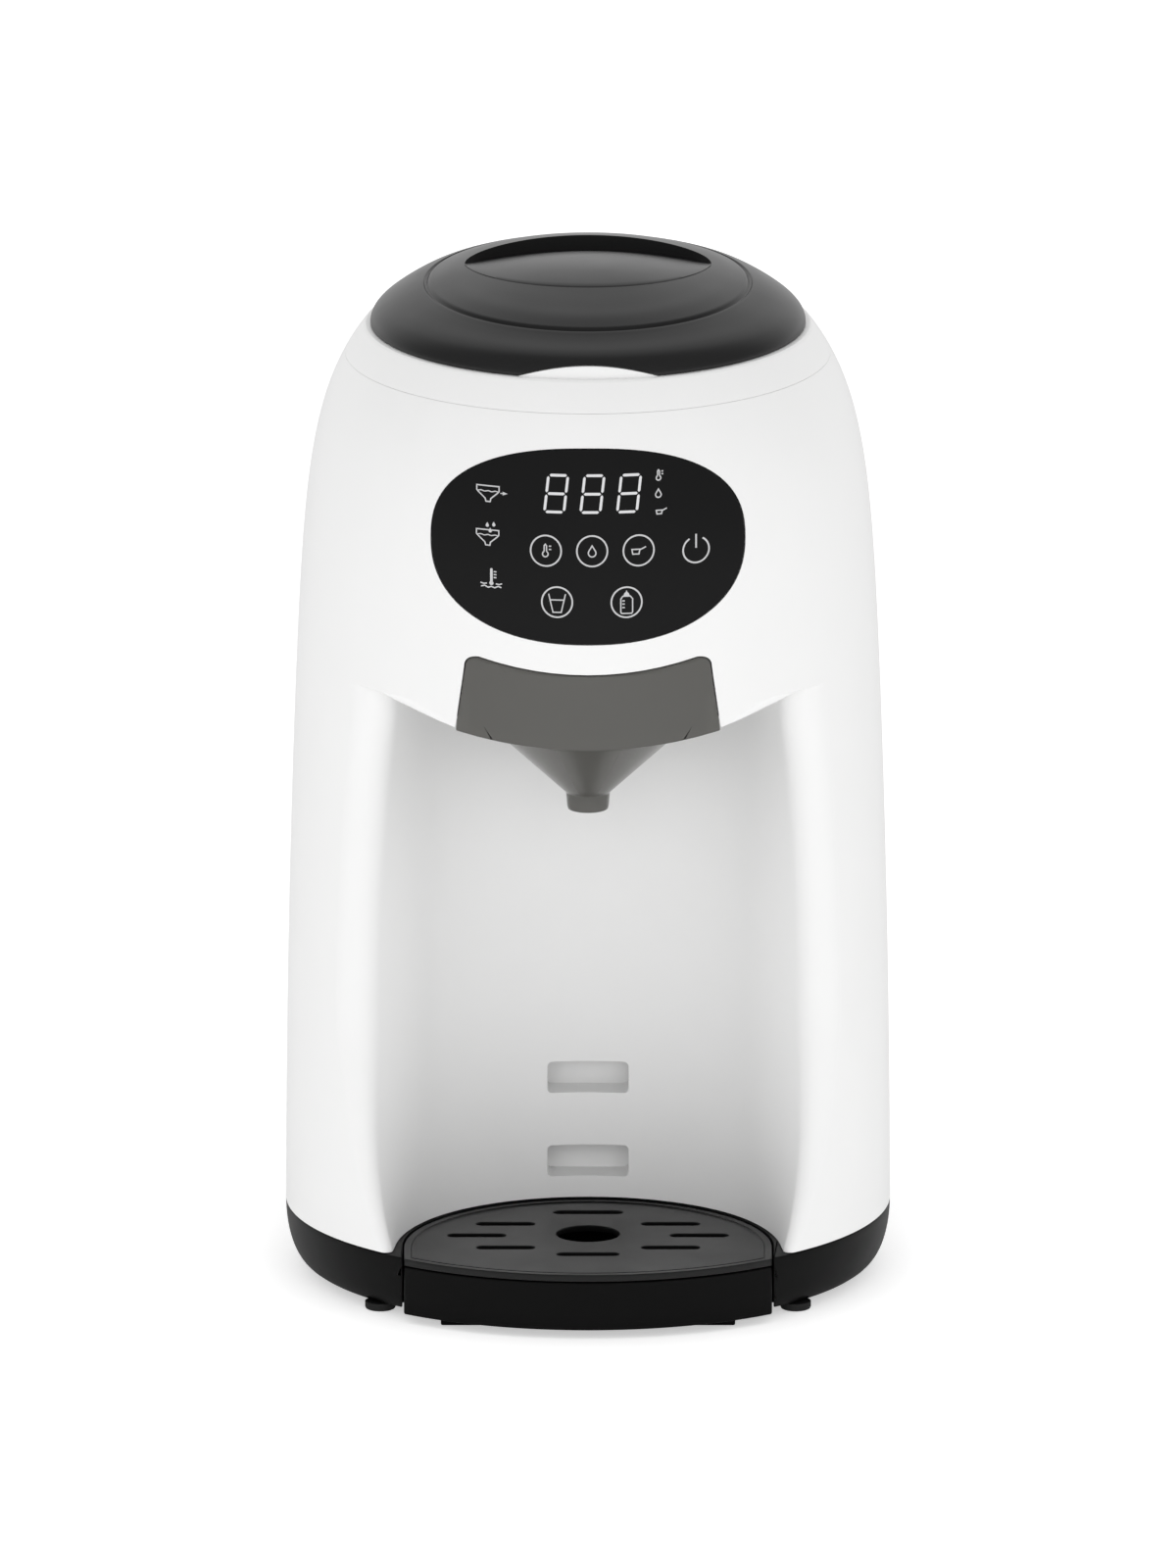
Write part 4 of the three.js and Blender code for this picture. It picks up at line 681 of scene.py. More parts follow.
class MAKER_OT_lid(bpy.types.Operator):
    """Charcoal lid with its ring groove, grip recess, finger notch and plug"""
    bl_idname = "maker.lid"
    bl_label = "Lid"

    def execute(self, context):
        top = body_top()
        edge = smooth_profile([(LID_RADIUS, 1.2), (73.6, 2.5), (72.6, 4.4), (70.5, 6.65), (67.5, 8.8),
                               (64, 10.8), (60, 12.75), (56.4, 14.15)])
        groove = [(55.9, 14.25), (55.5, 13.85), (55.1, 13.75), (54.7, 13.9), (54.3, 14.5)]
        dome = smooth_profile([(53.9, 14.95), (48, 16.95), (42, 18.4), (34, 20.15), (22.3, 22.35),
                               (11, 23.7), (0, 24.1)])
        made = lathe("powder_lid", [(r, top + h) for r, h in
                                    [(0, GAP), (LID_RADIUS, GAP)] + edge + groove + dome], 320)
        for vertex in made.data.vertices:
            r = math.hypot(vertex.co.x, vertex.co.y - AXIS_Y)
            vertex.co.z += lid_tilt(mm(r)) * (vertex.co.y - AXIS_Y)
        cut(made, grip_recess(top, dict(dome + edge)), upright("notch", notch_outline(0), -80, -64.9),
            lathe("lid_space", [(0, top - 2), (71.4, top - 2), (71.4, top + 2.2), (67.8, top + 5.4),
                                (52.2, top + 9.3), (46.5, top + 14.05), (0, top + 14.05)], 160))
        plug = lathe("plug", [(58, top - 11), (59, top - 11), (59, top - 9), (58, top - 9),
                              (58, top + 10.2), (56, top + 10.2), (56, top - 11)], 160)
        join(made, plug)
        dress(made, "charcoal_plastic", "lid", ["lid"], smooth=36)
        return {"FINISHED"}


def lid_tilt(r):
    """Slope of the dome to the front, which fades out towards the lid's edge."""
    share = min(max((LID_RADIUS - r) / 16, 0), 1)
    return 0.042 * share * share * (3 - 2 * share)


def grip_recess(top, profile, columns=72, steps=26):
    """What the grip recess takes from the dome: from a fine crease in front to an upright wall."""
    radii = sorted(profile)

    def dome(x, y):
        r = math.hypot(x, y)
        outer = next(k for k in radii if k > r)
        inner = radii[radii.index(outer) - 1]
        share = (r - inner) / (outer - inner)
        return profile[inner] + (profile[outer] - profile[inner]) * share + lid_tilt(r) * y

    rings = []
    crease, crease_y, reach, deepest = 42.6, 14.2, 41.9, 5.6
    for i in range(columns + 1):
        x = (reach - 0.1) * math.sin(math.pi * (i / columns - 0.5))
        front = crease_y - math.sqrt(crease ** 2 - x * x)
        back = 8 + 28 * math.sqrt(1 - (x / reach) ** 2)
        depth = deepest * (1 - 0.4 * (x / reach) ** 2) * math.sqrt(1 - (x / reach) ** 8)
        drops = [(-0.4, -0.3), (0.3, 0.4), (0.55, 0.4)]
        drops += [(1.2 + (back - front - 1.2) * k / steps, depth * (k / steps) ** 1.3 + 0.04)
                  for k in range(steps + 1)]
        floor = [(x, front + d, top + dome(x, front + d) - drop) for d, drop in drops]
        rings.append(floor + [(x, floor[-1][1], top + 60), (x, floor[0][1], top + 60)])
    return loft("recess", rings)


# Base and tray

def plan_outline(inset, steps=90, corner=24):
    """Plan of the base and tank: the tower's circle drawn out to two rear corners."""
    r = mm(sizes("body").radius)
    cx, cy = REAR_CORNER
    distance, bearing = math.hypot(cx, cy), math.atan2(cy, cx)
    lean = bearing - math.acos((r - REAR_RADIUS) / distance)
    half = []
    for i in range(steps + 1):
        a = -math.pi / 2 + (lean + math.pi / 2) * i / steps
        half.append(((r - inset) * math.cos(a), (r - inset) * math.sin(a)))
    r = REAR_RADIUS - inset
    for i in range(corner + 1):
        a = lean + (math.pi / 2 - lean) * i / corner
        half.append((cx + r * math.cos(a), cy + r * math.sin(a)))
    return half + [(-x, y) for x, y in half[:0:-1]]


def skirt(name, inset, z0, z1, steps=16):
    rings = []
    for i in range(steps + 1):
        z = z0 + (z1 - z0) * (i / steps) ** 1.4
        level = max((z - 3) / 20, 0)
        drawn_in = 8 * (1 - math.sqrt(max(1 - (1 - min(level, 1)) ** 2, 0)))
        rings.append([(x, y, z) for x, y in plan_outline(inset + drawn_in)])
    return loft(name, rings)


def bay_outline(radius, front=-FAR, steps=80):
    centre = -mm(sizes("bay").centre)
    return [(-radius, front), (radius, front)] + arc(0, centre, radius, 0, 180, steps)


def disc(name, radius, z0, z1, x=0, y=0, sides=48):
    return lathe(name, [(0, z0), (radius, z0), (radius, z1), (0, z1)], sides, x, y)


def gland_rod(name, radius, y0, y1, sides=32):
    """A round bar along the axis of the cord gland."""
    return rod(name, radius, (GLAND_X, y0, GLAND_Z), (GLAND_X, y1, GLAND_Z), sides)


class MAKER_OT_base(bpy.types.Operator):
    """Black base band with the bay that holds the tray"""
    bl_idname = "maker.base"
    bl_label = "Base"

    def execute(self, context):
        shell = cut(skirt("base_band", 0, BAND_FOOT, BAND_TOP), skirt("base_cavity", 2.5, 1, 20.5))
        lining = overlap(prism("lining", bay_outline(65.5), BAND_FOOT, BAND_TOP),
                         skirt("lining_limit", 0.01, BAND_FOOT + 0.01, BAND_TOP - 0.01))
        join(shell, lining)
        bosses = [lathe("boss", [(1.8, 7.8), (4, 7.8), (4, 20.8), (1.8, 20.8)], 24, x, y)
                  for x, y in SCREWS]
        join(shell, *bosses)
        cut(shell, prism("tray_bay", bay_outline(63), 1, 25),
            disc("dock_hole", 13.3, 18, 25, 0, TANK_Y), disc("hose_hole", 6, 18, 25, -40, 82),
            disc("wire_hole", 6, 18, 25, 0, 30), gland_rod("gland_hole", 5.3, 137, 156))
        round_edges(shell, 0.5)
        dress(shell, "base_black", "root", ["base_shell"])
        return {"FINISHED"}


def tray_outline(inset, steps=72):
    """Plan of the tray: a half circle behind, straight sides, and the base's curve in front."""
    r, reach = mm(sizes("tray").radius) - inset, mm(sizes("body").radius) - 0.5 - inset
    centre = -mm(sizes("bay").centre)
    side = -math.sqrt(reach * reach - r * r)
    turn = math.degrees(math.atan2(side, r))
    return arc(0, centre, r, 0, 180, steps) + arc(0, 0, reach, -180 - turn, 2 * turn + 180, steps)


def tray_slab(name, inset, z0, z1):
    return prism(name, tray_outline(inset), z0, z1)


class MAKER_OT_tray_bowl(bpy.types.Operator):
    """Black bowl of the drip tray with its feet"""
    bl_idname = "maker.tray_bowl"
    bl_label = "Tray bowl"

    def execute(self, context):
        bowl = cut(tray_slab("tray_tub", 0, 3, 19.8), tray_slab("tub_space", 2, 5, 25))
        feet = [block("tray_foot", x, x + 14.5, -84, -76, 0, 4) for x in (-50, 35.5)]
        join(bowl, *feet, block("tray_back_foot", -12, 12, -16, -8, 0, 4))
        round_edges(bowl, 0.6)
        dress(bowl, "base_black", "tray", ["tray_bowl"])
        return {"FINISHED"}


# Node trees for what repeats

def start_tree(name, *inputs):
    """A Geometry Nodes tree with a geometry in and out and the named inputs."""
    tree = bpy.data.node_groups.new(name, "GeometryNodeTree")
    for label, kind in (("Geometry", "Geometry"), *inputs, ("Finish", "Material")):
        tree.interface.new_socket(label, in_out="INPUT", socket_type="NodeSocket" + kind)
    tree.interface.new_socket("Geometry", in_out="OUTPUT", socket_type="NodeSocketGeometry")
    return tree, tree.nodes.new("NodeGroupInput").outputs


def end_tree(tree, given, shape):
    paint = add_node(tree, "GeometryNodeSetMaterial", Geometry=shape, Material=given["Finish"])
    add_node(tree, "NodeGroupOutput", Geometry=paint.outputs["Geometry"])
    return tree


def on_points(tree, points, piece):
    """The piece copied onto every point, drawn out by the point's stretch, as one mesh."""
    shape = add_node(tree, "GeometryNodeObjectInfo", Object=piece).outputs["Geometry"]
    stretch = add_node(tree, "GeometryNodeInputNamedAttribute", {"data_type": "FLOAT_VECTOR"},
                       Name="stretch").outputs["Attribute"]
    copied = add_node(tree, "GeometryNodeInstanceOnPoints", Points=points, Instance=shape, Scale=stretch)
    return add_node(tree, "GeometryNodeRealizeInstances",
                    Geometry=copied.outputs["Instances"]).outputs["Geometry"]


def copies_tree():
    """Copies a piece onto every point of a mesh."""
    known = bpy.data.node_groups.get("copies_on_points")
    if known:
        return known
    tree, given = start_tree("copies_on_points", ("Piece", "Object"))
    return end_tree(tree, given, on_points(tree, given["Geometry"], given["Piece"]))


def punched_tree():
    """Cuts a copy of a punch out of a slab at every point."""
    known = bpy.data.node_groups.get("punched_slab")
    if known:
        return known
    tree, given = start_tree("punched_slab", ("Places", "Object"), ("Punch", "Object"))
    places = add_node(tree, "GeometryNodeObjectInfo", Object=given["Places"]).outputs["Geometry"]
    cutter = on_points(tree, places, given["Punch"])
    left = add_node(tree, "GeometryNodeMeshBoolean", {"operation": "DIFFERENCE", "solver": "MANIFOLD"},
                    Mesh_1=given["Geometry"], Mesh_2=cutter)
    return end_tree(tree, given, left.outputs["Mesh"])


def run_tree(made, tree, **values):
    """Runs the tree on the object with its inputs set by name, and keeps the plain mesh."""
    step = made.modifiers.new(tree.name, "NODES")
    step.node_group = tree
    for socket in tree.interface.items_tree:
        if socket.in_out == "INPUT" and socket.name in values:
            step[socket.identifier] = values[socket.name]
    return settle(made)


def places_object(name, places, stretch=None):
    """Loose points, each with a scale for what is copied onto it."""
    mesh = bpy.data.meshes.new(name)
    mesh.from_pydata([row(*p) for p in places], [], [])
    scale = mesh.attributes.new("stretch", "FLOAT_VECTOR", "POINT")
    for i in range(len(places)):
        scale.data[i].vector = stretch[i] if stretch else (1, 1, 1)
    made = bpy.data.objects.new(name, mesh)
    bpy.context.scene.collection.objects.link(made)
    return made


def centred(made):
    """Moves a small piece's mesh from the tower's axis to the origin, ready to be copied."""
    for vertex in made.data.vertices:
        vertex.co.y -= AXIS_Y
    return made


def copies(name, piece, places, material, stretch=None):
    points = places_object(name, places, stretch)
    made = run_tree(points, copies_tree(), Piece=piece, Finish=finish(material))
    bpy.data.objects.remove(piece)
    return made


def punched(slab, punch, places, material, stretch=None):
    points = places_object(slab.name + "_places", places, stretch)
    run_tree(slab, punched_tree(), Places=points, Punch=punch, Finish=finish(material))
    bpy.data.objects.remove(points)
    bpy.data.objects.remove(punch)
    return slab


def stadium(half, radius, steps=12):
    """Outline of a slot with round ends."""
    return arc(half, 0, radius, -90, 180, steps) + arc(-half, 0, radius, 90, 180, steps)


class MAKER_OT_tray_grate(bpy.types.Operator):
    """Charcoal grate of the tray, punched with eight slots round a drain hole"""
    bl_idname = "maker.tray_grate"
    bl_label = "Tray grate"

    def execute(self, context):
        t = sizes("tray")
        top, thick = 22.6, 2.5
        slab = tray_slab("tray_top", 0, top - thick, top)
        rim = cut(tray_slab("rim", 2.5, top - thick - 3, top - thick / 2),
                  tray_slab("rim_space", 4.5, 3, top - thick))
        field = tray_slab("field", 2.6, top - 0.35, top + 2)
        cut(join(slab, rim), field, disc("drain", mm(t.drain), 3, 25, 0, FUNNEL_Y, 72))
        slots = [(0, -18, 23.7), (28, -33.2, 20), (-28, -33.2, 20), (37.8, -48.3, 20),
                 (-37.8, -48.3, 20), (28, -64.2, 20), (-28, -64.2, 20), (0, -73, 21.3)]
        wide, usual = mm(t.slot_width), 20
        punch = centred(prism("slot_punch", stadium((usual - wide) / 2, wide / 2), -6, 6))
        punched(slab, punch, [(x, y, top) for x, y, _ in slots], "grate_charcoal",
                [(long / usual, 1, 1) for _, _, long in slots])
        round_edges(slab, 0.45, angle=30)
        dress(slab, "grate_charcoal", "grate", ["tray_grate"])
        return {"FINISHED"}


class MAKER_OT_underside(bpy.types.Operator):
    """Bottom plate with its vents, screws, rubber feet and the cord gland"""
    bl_idname = "maker.underside"
    bl_label = "Underside"

    def execute(self, context):
        plate = overlap(skirt("bottom_cover", 2.8, 1, 20.5),
                        prism("plate_band", plan_outline(0), 5, 7.5))
        cut(plate, prism("plate_bay", bay_outline(65.8), 3, 10),
            *[disc("screw_hole", 1.8, 3, 10, x, y, 24) for x, y in SCREWS])
        vent = centred(prism("vent_punch", stadium(18.5, 1.5), -4, 4))
        punched(plate, vent, [(0, 45 + 8 * i, 6) for i in range(-2, 3)], "base_black")
        round_edges(plate, 0.3)
        dress(plate, "base_black", "root", ["bottom_plate"])
        foot = lathe("foot", [(0, 0), (4.4, 0), (4.9, 0.25), (5.2, 0.8), (5.2, 2.7), (0, 2.7)], 48)
        dress(copies("rubber_feet", centred(foot), FEET, "soft_rubber"), "soft_rubber", "root",
              [f"base_foot_{i}" for i in range(1, 5)])
        screw = cut(lathe("screw", [(0, 0), (2.2, 0), (2.8, 0.4), (3, 1), (3, 1.5), (1.5, 1.5),
                                    (1.5, 15), (0, 15)], 36),
                    block("cross_a", -1.8, 1.8, -0.35, 0.35, -1, 0.9),
                    block("cross_b", -0.35, 0.35, -1.8, 1.8, -1, 0.9))
        dress(copies("base_screws", centred(screw), [(x, y, 3.2) for x, y in SCREWS], "brushed_steel"),
              "brushed_steel", "root", [f"base_screw_{i}" for i in range(1, 5)])
        gland = join(gland_rod("gland", 5, 143.3, 146.3, 64), gland_rod("gland_nose", 4, 144, 148.3, 64))
        cut(gland, gland_rod("gland_bore", 2.6, 142, 152))
        round_edges(gland, 0.4)
        dress(gland, "soft_rubber", "root", ["cord_gland"])
        return {"FINISHED"}


# Funnel

class MAKER_OT_funnel(bpy.types.Operator):
    """Smoky pull-out funnel: front plate, open bowl with its flange, cone and spout"""
    bl_idname = "maker.funnel"
    bl_label = "Mixing funnel"

    def execute(self, context):
        top = mm(sizes("bay").top)
        front = -math.sqrt(skin(BOWL_TOP) ** 2 - PLATE_HALF ** 2)
        foot, floor = top + 3.5, top + 5.5
        bowl = join(prism("mixing_funnel", bowl_outline(BOWL_RADIUS, front), foot, BOWL_TOP),
                    prism("flange", bowl_outline(41.8, front), 224.3, 226.3))
        nose = overlap(block("nose", -BOWL_RADIUS, BOWL_RADIUS, -FAR, front + 2, foot, BOWL_TOP),
                       tower("nose_limit", foot - 2, BOWL_TOP + 2, 1.5, 12))
        cone = [(6.5, 171.7), (6.9, 172), (7.1, 173), (7.5, 177.7), (31.2, 199.8)]
        rim = [(31.6, 200.1), (31.9, 200.6), (32.2, 201.4), (38.5, foot), (38.5, floor)]
        join(bowl, nose, lathe("cone", [(0, 171.7), *cone, *rim, (0, floor)], 120, 0, FUNNEL_Y))
        band = cut(tower("plate_skin", 204, 242, 0, 12), tower("plate_back", 202, 244, 3, 12))
        join(bowl, overlap(upright("front_plate", plate_outline(), -FAR, INNER), band))
        bore, above = BOWL_RADIUS - BOWL_WALL, BOWL_TOP + 4
        nose_space = overlap(block("nose_space", -bore, bore, -FAR, front + 2, floor, above),
                             tower("nose_space_limit", foot - 2, above + 2, 3.2, 12))
        inside = [(4.7, 168), (4.9, 173), (5.5, 178.5), (29.2, 200.8), (30.2, 201.8),
                  (36.5, foot + 0.6), (36.5, floor + 2)]
        cut(bowl, prism("bowl_space", bowl_outline(bore, front + 0.5), floor, above), nose_space,
            lathe("cone_space", [(0, 168), *inside, (0, floor + 2)], 120, 0, FUNNEL_Y))
        round_edges(bowl, 0.4, angle=34, merge=0.12)
        dress(bowl, "smoky_plastic", "funnel", ["funnel"])
        return {"FINISHED"}


# Water tank

TANK_FOOT, TANK_TOP, TANK_WALL = 23.3, 255, 2.2
COVER_FOOT, COVER_TOP = 255.3, 259.3
HINGE_Y, HINGE_Z, FLAP_HALF = 136, 258.4, 26


def tank_body(name, inset, z0, z1):
    """A slice of the tank: the base's plan behind the tower's curved wall."""
    low, high = z0 - 4, z1 + 4
    curve = [(skin(z) + 1.5 + inset, z) for z in heights(low, high, 30)]
    wall = lathe(name + "_tower", [(0, low), *curve, (0, high)], 240)
    return cut(prism(name, plan_outline(3 + inset), z0, z1), wall,
               block(name + "_front", -FAR, FAR, -FAR, 62 + inset, 0, SKY))


class MAKER_OT_tank(bpy.types.Operator):
    """Clear water tank behind the tower, its cover and the fill flap"""
    bl_idname = "maker.tank"
    bl_label = "Water tank"

    def execute(self, context):
        tank = cut(tank_body("tank_shell", 0, TANK_FOOT, TANK_TOP),
                   tank_body("tank_space", TANK_WALL, TANK_FOOT + TANK_WALL, TANK_TOP + 3))
        join(tank, disc("neck", 9.5, 17.3, 25.5, 0, TANK_Y, 72))
        cut(tank, disc("neck_bore", 7, 10, 28, 0, TANK_Y, 72))
        round_edges(tank, 0.7)
        dress(tank, "tank_plastic", "tank", ["water_tank"])
        cover = join(tank_body("tank_cover", 0, COVER_FOOT, COVER_TOP),
                     cut(tank_body("cover_skirt", 2.6, COVER_FOOT - 6, COVER_TOP - 2),
                         tank_body("skirt_space", 4.8, 247, COVER_FOOT)))
        cut(cover, block("fill_hole", -23, 23, 119, 133, 250, 262),
            block("flap_seat", -26.3, 26.3, 115.7, 140, 256.9, 262))
        round_edges(cover, 0.6)
        dress(cover, "charcoal_plastic", "tank", ["tank_lid"])
        flap = join(prism("tank_flap", flap_outline(), 257.2, 259.6),
                    rod("knuckle", 1.2, (-FLAP_HALF, HINGE_Y, HINGE_Z), (FLAP_HALF, HINGE_Y, HINGE_Z)))
        ridges = [block("ridge", -14, 14, y, y + 0.9, 259.2, 259.6) for y in (119, 121.4, 123.8)]
        cut(flap, *ridges)
        round_edges(flap, 0.25)
        dress(flap, "charcoal_plastic", "flap", ["fill_flap"])
        return {"FINISHED"}


def flap_outline(radius=3, steps=6):
    """Plan of the fill flap, straight at its hinge and round at its free corners."""
    corners = ((-FLAP_HALF + radius, 180), (FLAP_HALF - radius, 270))
    return [(FLAP_HALF, HINGE_Y), (-FLAP_HALF, HINGE_Y)] + [
        p for x, start in corners for p in arc(x, HINGE_Y - 20 + radius, radius, start, 90, steps)]


# Panel and its marks

INK = 0.06  # how far the printed marks stand on the panel's face


def onto_panel(made, proud=0.2):
    """Wraps a flat drawing, with x and z as drawn and y as its lift, onto the panel's face."""
    for vertex in made.data.vertices:
        x, z = mm(vertex.co.x), mm(vertex.co.z)
        lift = -(mm(vertex.co.y - AXIS_Y))
        vertex.co = row(x, -math.sqrt((skin(z) + proud) ** 2 - x * x) - lift, z)
    return made


def stroke(bm, path, width, closed=False):
    """A line of even width along a flat path of (x, z) points, with mitred corners."""
    points = []
    pairs = list(zip(path, path[1:] + (path[:1] if closed else [])))
    for (x0, z0), (x1, z1) in pairs:
        count = max(1, round(math.hypot(x1 - x0, z1 - z0) / 1.2))
        points += [(x0 + (x1 - x0) * i / count, z0 + (z1 - z0) * i / count) for i in range(count)]
    if not closed:
        points.append(path[-1])
    total, rails = len(points), []
    for i, (x, z) in enumerate(points):
        before = points[i - 1] if closed or i else None
        after = points[(i + 1) % total] if closed or i < total - 1 else None
        ways = []
        if before:
            ways.append((x - before[0], z - before[1]))
        if after:
            ways.append((after[0] - x, after[1] - z))
        ways = [(a / math.hypot(a, b), b / math.hypot(a, b)) for a, b in ways]
        a, b = sum(w[0] for w in ways), sum(w[1] for w in ways)
        size = math.hypot(a, b) or 1
        a, b = a / size, b / size
        miter = min(1 / max(a * ways[0][0] + b * ways[0][1], 0.5), 2) * width / 2
        rails.append([bm.verts.new(row(x - side * b * miter, -lift, z + side * a * miter))
                      for side, lift in ((1, INK), (-1, INK), (-1, -INK), (1, -INK))])
    last = total if closed else total - 1
    for i in range(last):
        here, there = rails[i], rails[(i + 1) % total]
        for k in range(4):
            n = (k + 1) % 4
            bm.faces.new((here[k], here[n], there[n], there[k]))
    if not closed:
        bm.faces.new(rails[0][::-1])
        bm.faces.new(rails[-1])


def patch(bm, outline):
    """A filled flat outline of (x, z) points."""
    front = [bm.verts.new(row(x, -INK, z)) for x, z in outline]
    back = [bm.verts.new(row(x, INK, z)) for x, z in outline]
    bm.faces.new(front)
    bm.faces.new(back[::-1])
    for i in range(len(outline)):
        j = (i + 1) % len(outline)
        bm.faces.new((front[i], front[j], back[j], back[i]))


def ring_path(x, z, radius, start=0, turn=360, steps=48):
    """A whole ring without its last point, which is its first, or part of one."""
    path = arc(x, z, radius, start, turn, steps)
    return path[:-1] if turn == 360 else path


def moved(path, x, z, scale=1):
    return [(x + a * scale, z + b * scale) for a, b in path]


def drop_path(x, z, size):
    """A drop with its point up."""
    tip = [(0, 1.9 * size)]
    return moved(tip + ring_path(0, 0, size, 155, 230, 14), x, z)


def drawing(name, draw, ink):
    bm = bmesh.new()
    draw(bm)
    made = piece_from(name, bm)
    return dress(onto_panel(made), ink, "root")


FUNNEL_MARK = [(-3.86, 2.3), (3.7, 2.3), (3.7, 0.7), (3.2, 0.1), (0.85, -1.9), (0.7, -2.9), (-0.75, -2.9),
               (-1, -1.9), (-3.4, 0.2), (-3.86, 0.7)]
ARROW_MARK = [(4.1, 0.3), (4.9, 0.3), (4.9, 0.75), (6.6, 0.15), (4.9, -0.45), (4.9, 0), (4.1, 0)]
RIPPLES = ([(-3.7, -1.5), (-2.6, -1.8), (-1.5, -1.6)], [(1.5, -1.6), (2.6, -1.8), (3.6, -1.4)],
           [(-3.5, -2.8), (-2.3, -2.4), (-1.1, -3), (0, -2.6), (1.1, -3), (2.3, -2.4), (3.4, -2.8)])
BULB_MARK = [(-0.6, -0.2), (-0.6, 1.7), (-0.2, 2.2), (0.2, 1.7), (0.2, -0.2)]
SCOOP_MARK = [(-2.3, 0.5), (0.4, 0.5), (0.1, -1.1), (-2, -1.1)]
WAVE = [(-3.6, 0.5), (-2.4, 0.75), (-1.2, 0.4), (0, 0.7), (1.2, 0.4), (2.4, 0.7), (3.4, 0.5)]
GLASS_MARK = [(-2.87, 2.8), (-1.4, -3.5), (1.4, -3.5), (2.85, 2.8)]
BOTTLE_MARK = [(-1.25, 2.1), (-1.95, 1.15), (-1.95, -3.4), (-1.6, -3.85), (1.7, -3.85), (2.05, -3.4),
               (2.05, 1.15), (1.3, 2.1)]
TEAT_MARK = [(-1.1, 2.2), (-0.75, 3.1), (-0.3, 3.5), (0, 4.2), (0.3, 3.5), (0.75, 3.1), (1.1, 2.2)]

# places (x, z) on the panel, with the size of a mark that is drawn twice
FUNNEL_LAMP, RINSE_LAMP, HEAT_LAMP = (-33.9, 293.3), (-34, 278.6), (-32.8, 264.3)
GLASS_KEY, BOTTLE_KEY, POWER_KEY = (-10.5, 257.6), (13.1, 257.5), (36.7, 273.9)
ROUND_KEYS = ((-14.3, 275.1), (1.4, 275.2), (17.2, 275.1))
BULBS = (((-14.3, 275.1), 1), ((24.1, 299.9), 0.8))
DROPS = (((1.4, 275.2), 1.3), ((23.9, 294), 0.95))
SCOOPS = (((17.2, 275), 1), ((24.9, 287.9), 0.75))


def draw_digits(bm):
    """Three seven-segment figures, leaning a little."""
    middle, wide, high, thick, lean = 294.4, 3.3, 6.1, 0.45, 0.115
    for centre in (-10.8, 1.5, 13.95):
        def lay(outline):
            patch(bm, [(centre + x + z * lean, middle + z) for x, z in outline])
        for z in (-high, 0, high):
            lay([(-wide + 0.35, z), (-wide + 0.8, z - thick), (wide - 0.8, z - thick), (wide - 0.35, z),
                 (wide - 0.8, z + thick), (-wide + 0.8, z + thick)])
        for x in (-wide, wide):
            for low in (-high, 0):
                lay([(x, low + 0.35), (x + thick, low + 0.8), (x + thick, low + high - 0.8),
                     (x, low + high - 0.35), (x - thick, low + high - 0.8), (x - thick, low + 0.8)])


def draw_symbols(bm):
    """Plain marks: funnel out, rinse, hot water, drink keys, power key and three measures."""
    thin = mm(sizes("panel").stroke)
    for place in (FUNNEL_LAMP, RINSE_LAMP):
        stroke(bm, moved(FUNNEL_MARK, *place), thin, closed=True)
        stroke(bm, moved(WAVE, *place), thin * 0.8)
    patch(bm, moved(ARROW_MARK, *FUNNEL_LAMP))
    for x, z in ((-34.2, 282.4), (-32, 282.7), (-33.2, 280.6)):
        patch(bm, drop_path(x, z, 0.56))
    patch(bm, moved([(-0.45, -1), (0.45, -1), (0.45, 3.4), (0, 3.7), (-0.45, 3.4)], *HEAT_LAMP))
    patch(bm, moved(ring_path(0, -1.45, 0.72, steps=20), *HEAT_LAMP))
    for z in (2.5, 1.5, 0.5):
        stroke(bm, moved([(0.75, z), (1.7, z)], *HEAT_LAMP), thin)
    for path in RIPPLES:
        stroke(bm, moved(path, *HEAT_LAMP), thin)
    stroke(bm, moved(GLASS_MARK, *GLASS_KEY), thin)
    stroke(bm, moved([(-2.2, 0.75), (2.2, 0.75)], *GLASS_KEY), thin)
    stroke(bm, moved(BOTTLE_MARK, *BOTTLE_KEY), thin, closed=True)
    patch(bm, moved(TEAT_MARK, *BOTTLE_KEY))
    for z in (0.5, -0.6, -1.8):
        stroke(bm, moved([(-1.5, z), (-0.6, z)], *BOTTLE_KEY), thin)
    stroke(bm, ring_path(*POWER_KEY, 4.4, 120, 300), thin * 1.35)
    stroke(bm, [(POWER_KEY[0], 274.5), (POWER_KEY[0], 279.2)], thin * 1.35)
    for (x, z), size in BULBS:
        stroke(bm, ring_path(x - 0.2 * size, z - 1.1 * size, 0.95 * size, 115, 310, 24), thin)
        stroke(bm, moved(BULB_MARK, x, z, size), thin)
        stroke(bm, moved([(1, 1.6), (1.8, 1.6)], x, z, size), thin)
        stroke(bm, moved([(1, 0.5), (1.8, 0.5)], x, z, size), thin)
    for (x, z), size in DROPS:
        stroke(bm, drop_path(x, z - 0.5 * size, size), thin, closed=True)
    for (x, z), size in SCOOPS:
        stroke(bm, moved(SCOOP_MARK, x, z, size), thin, closed=True)
        stroke(bm, moved([(0.4, 0.3), (2.5, 1.3)], x, z, size), thin)


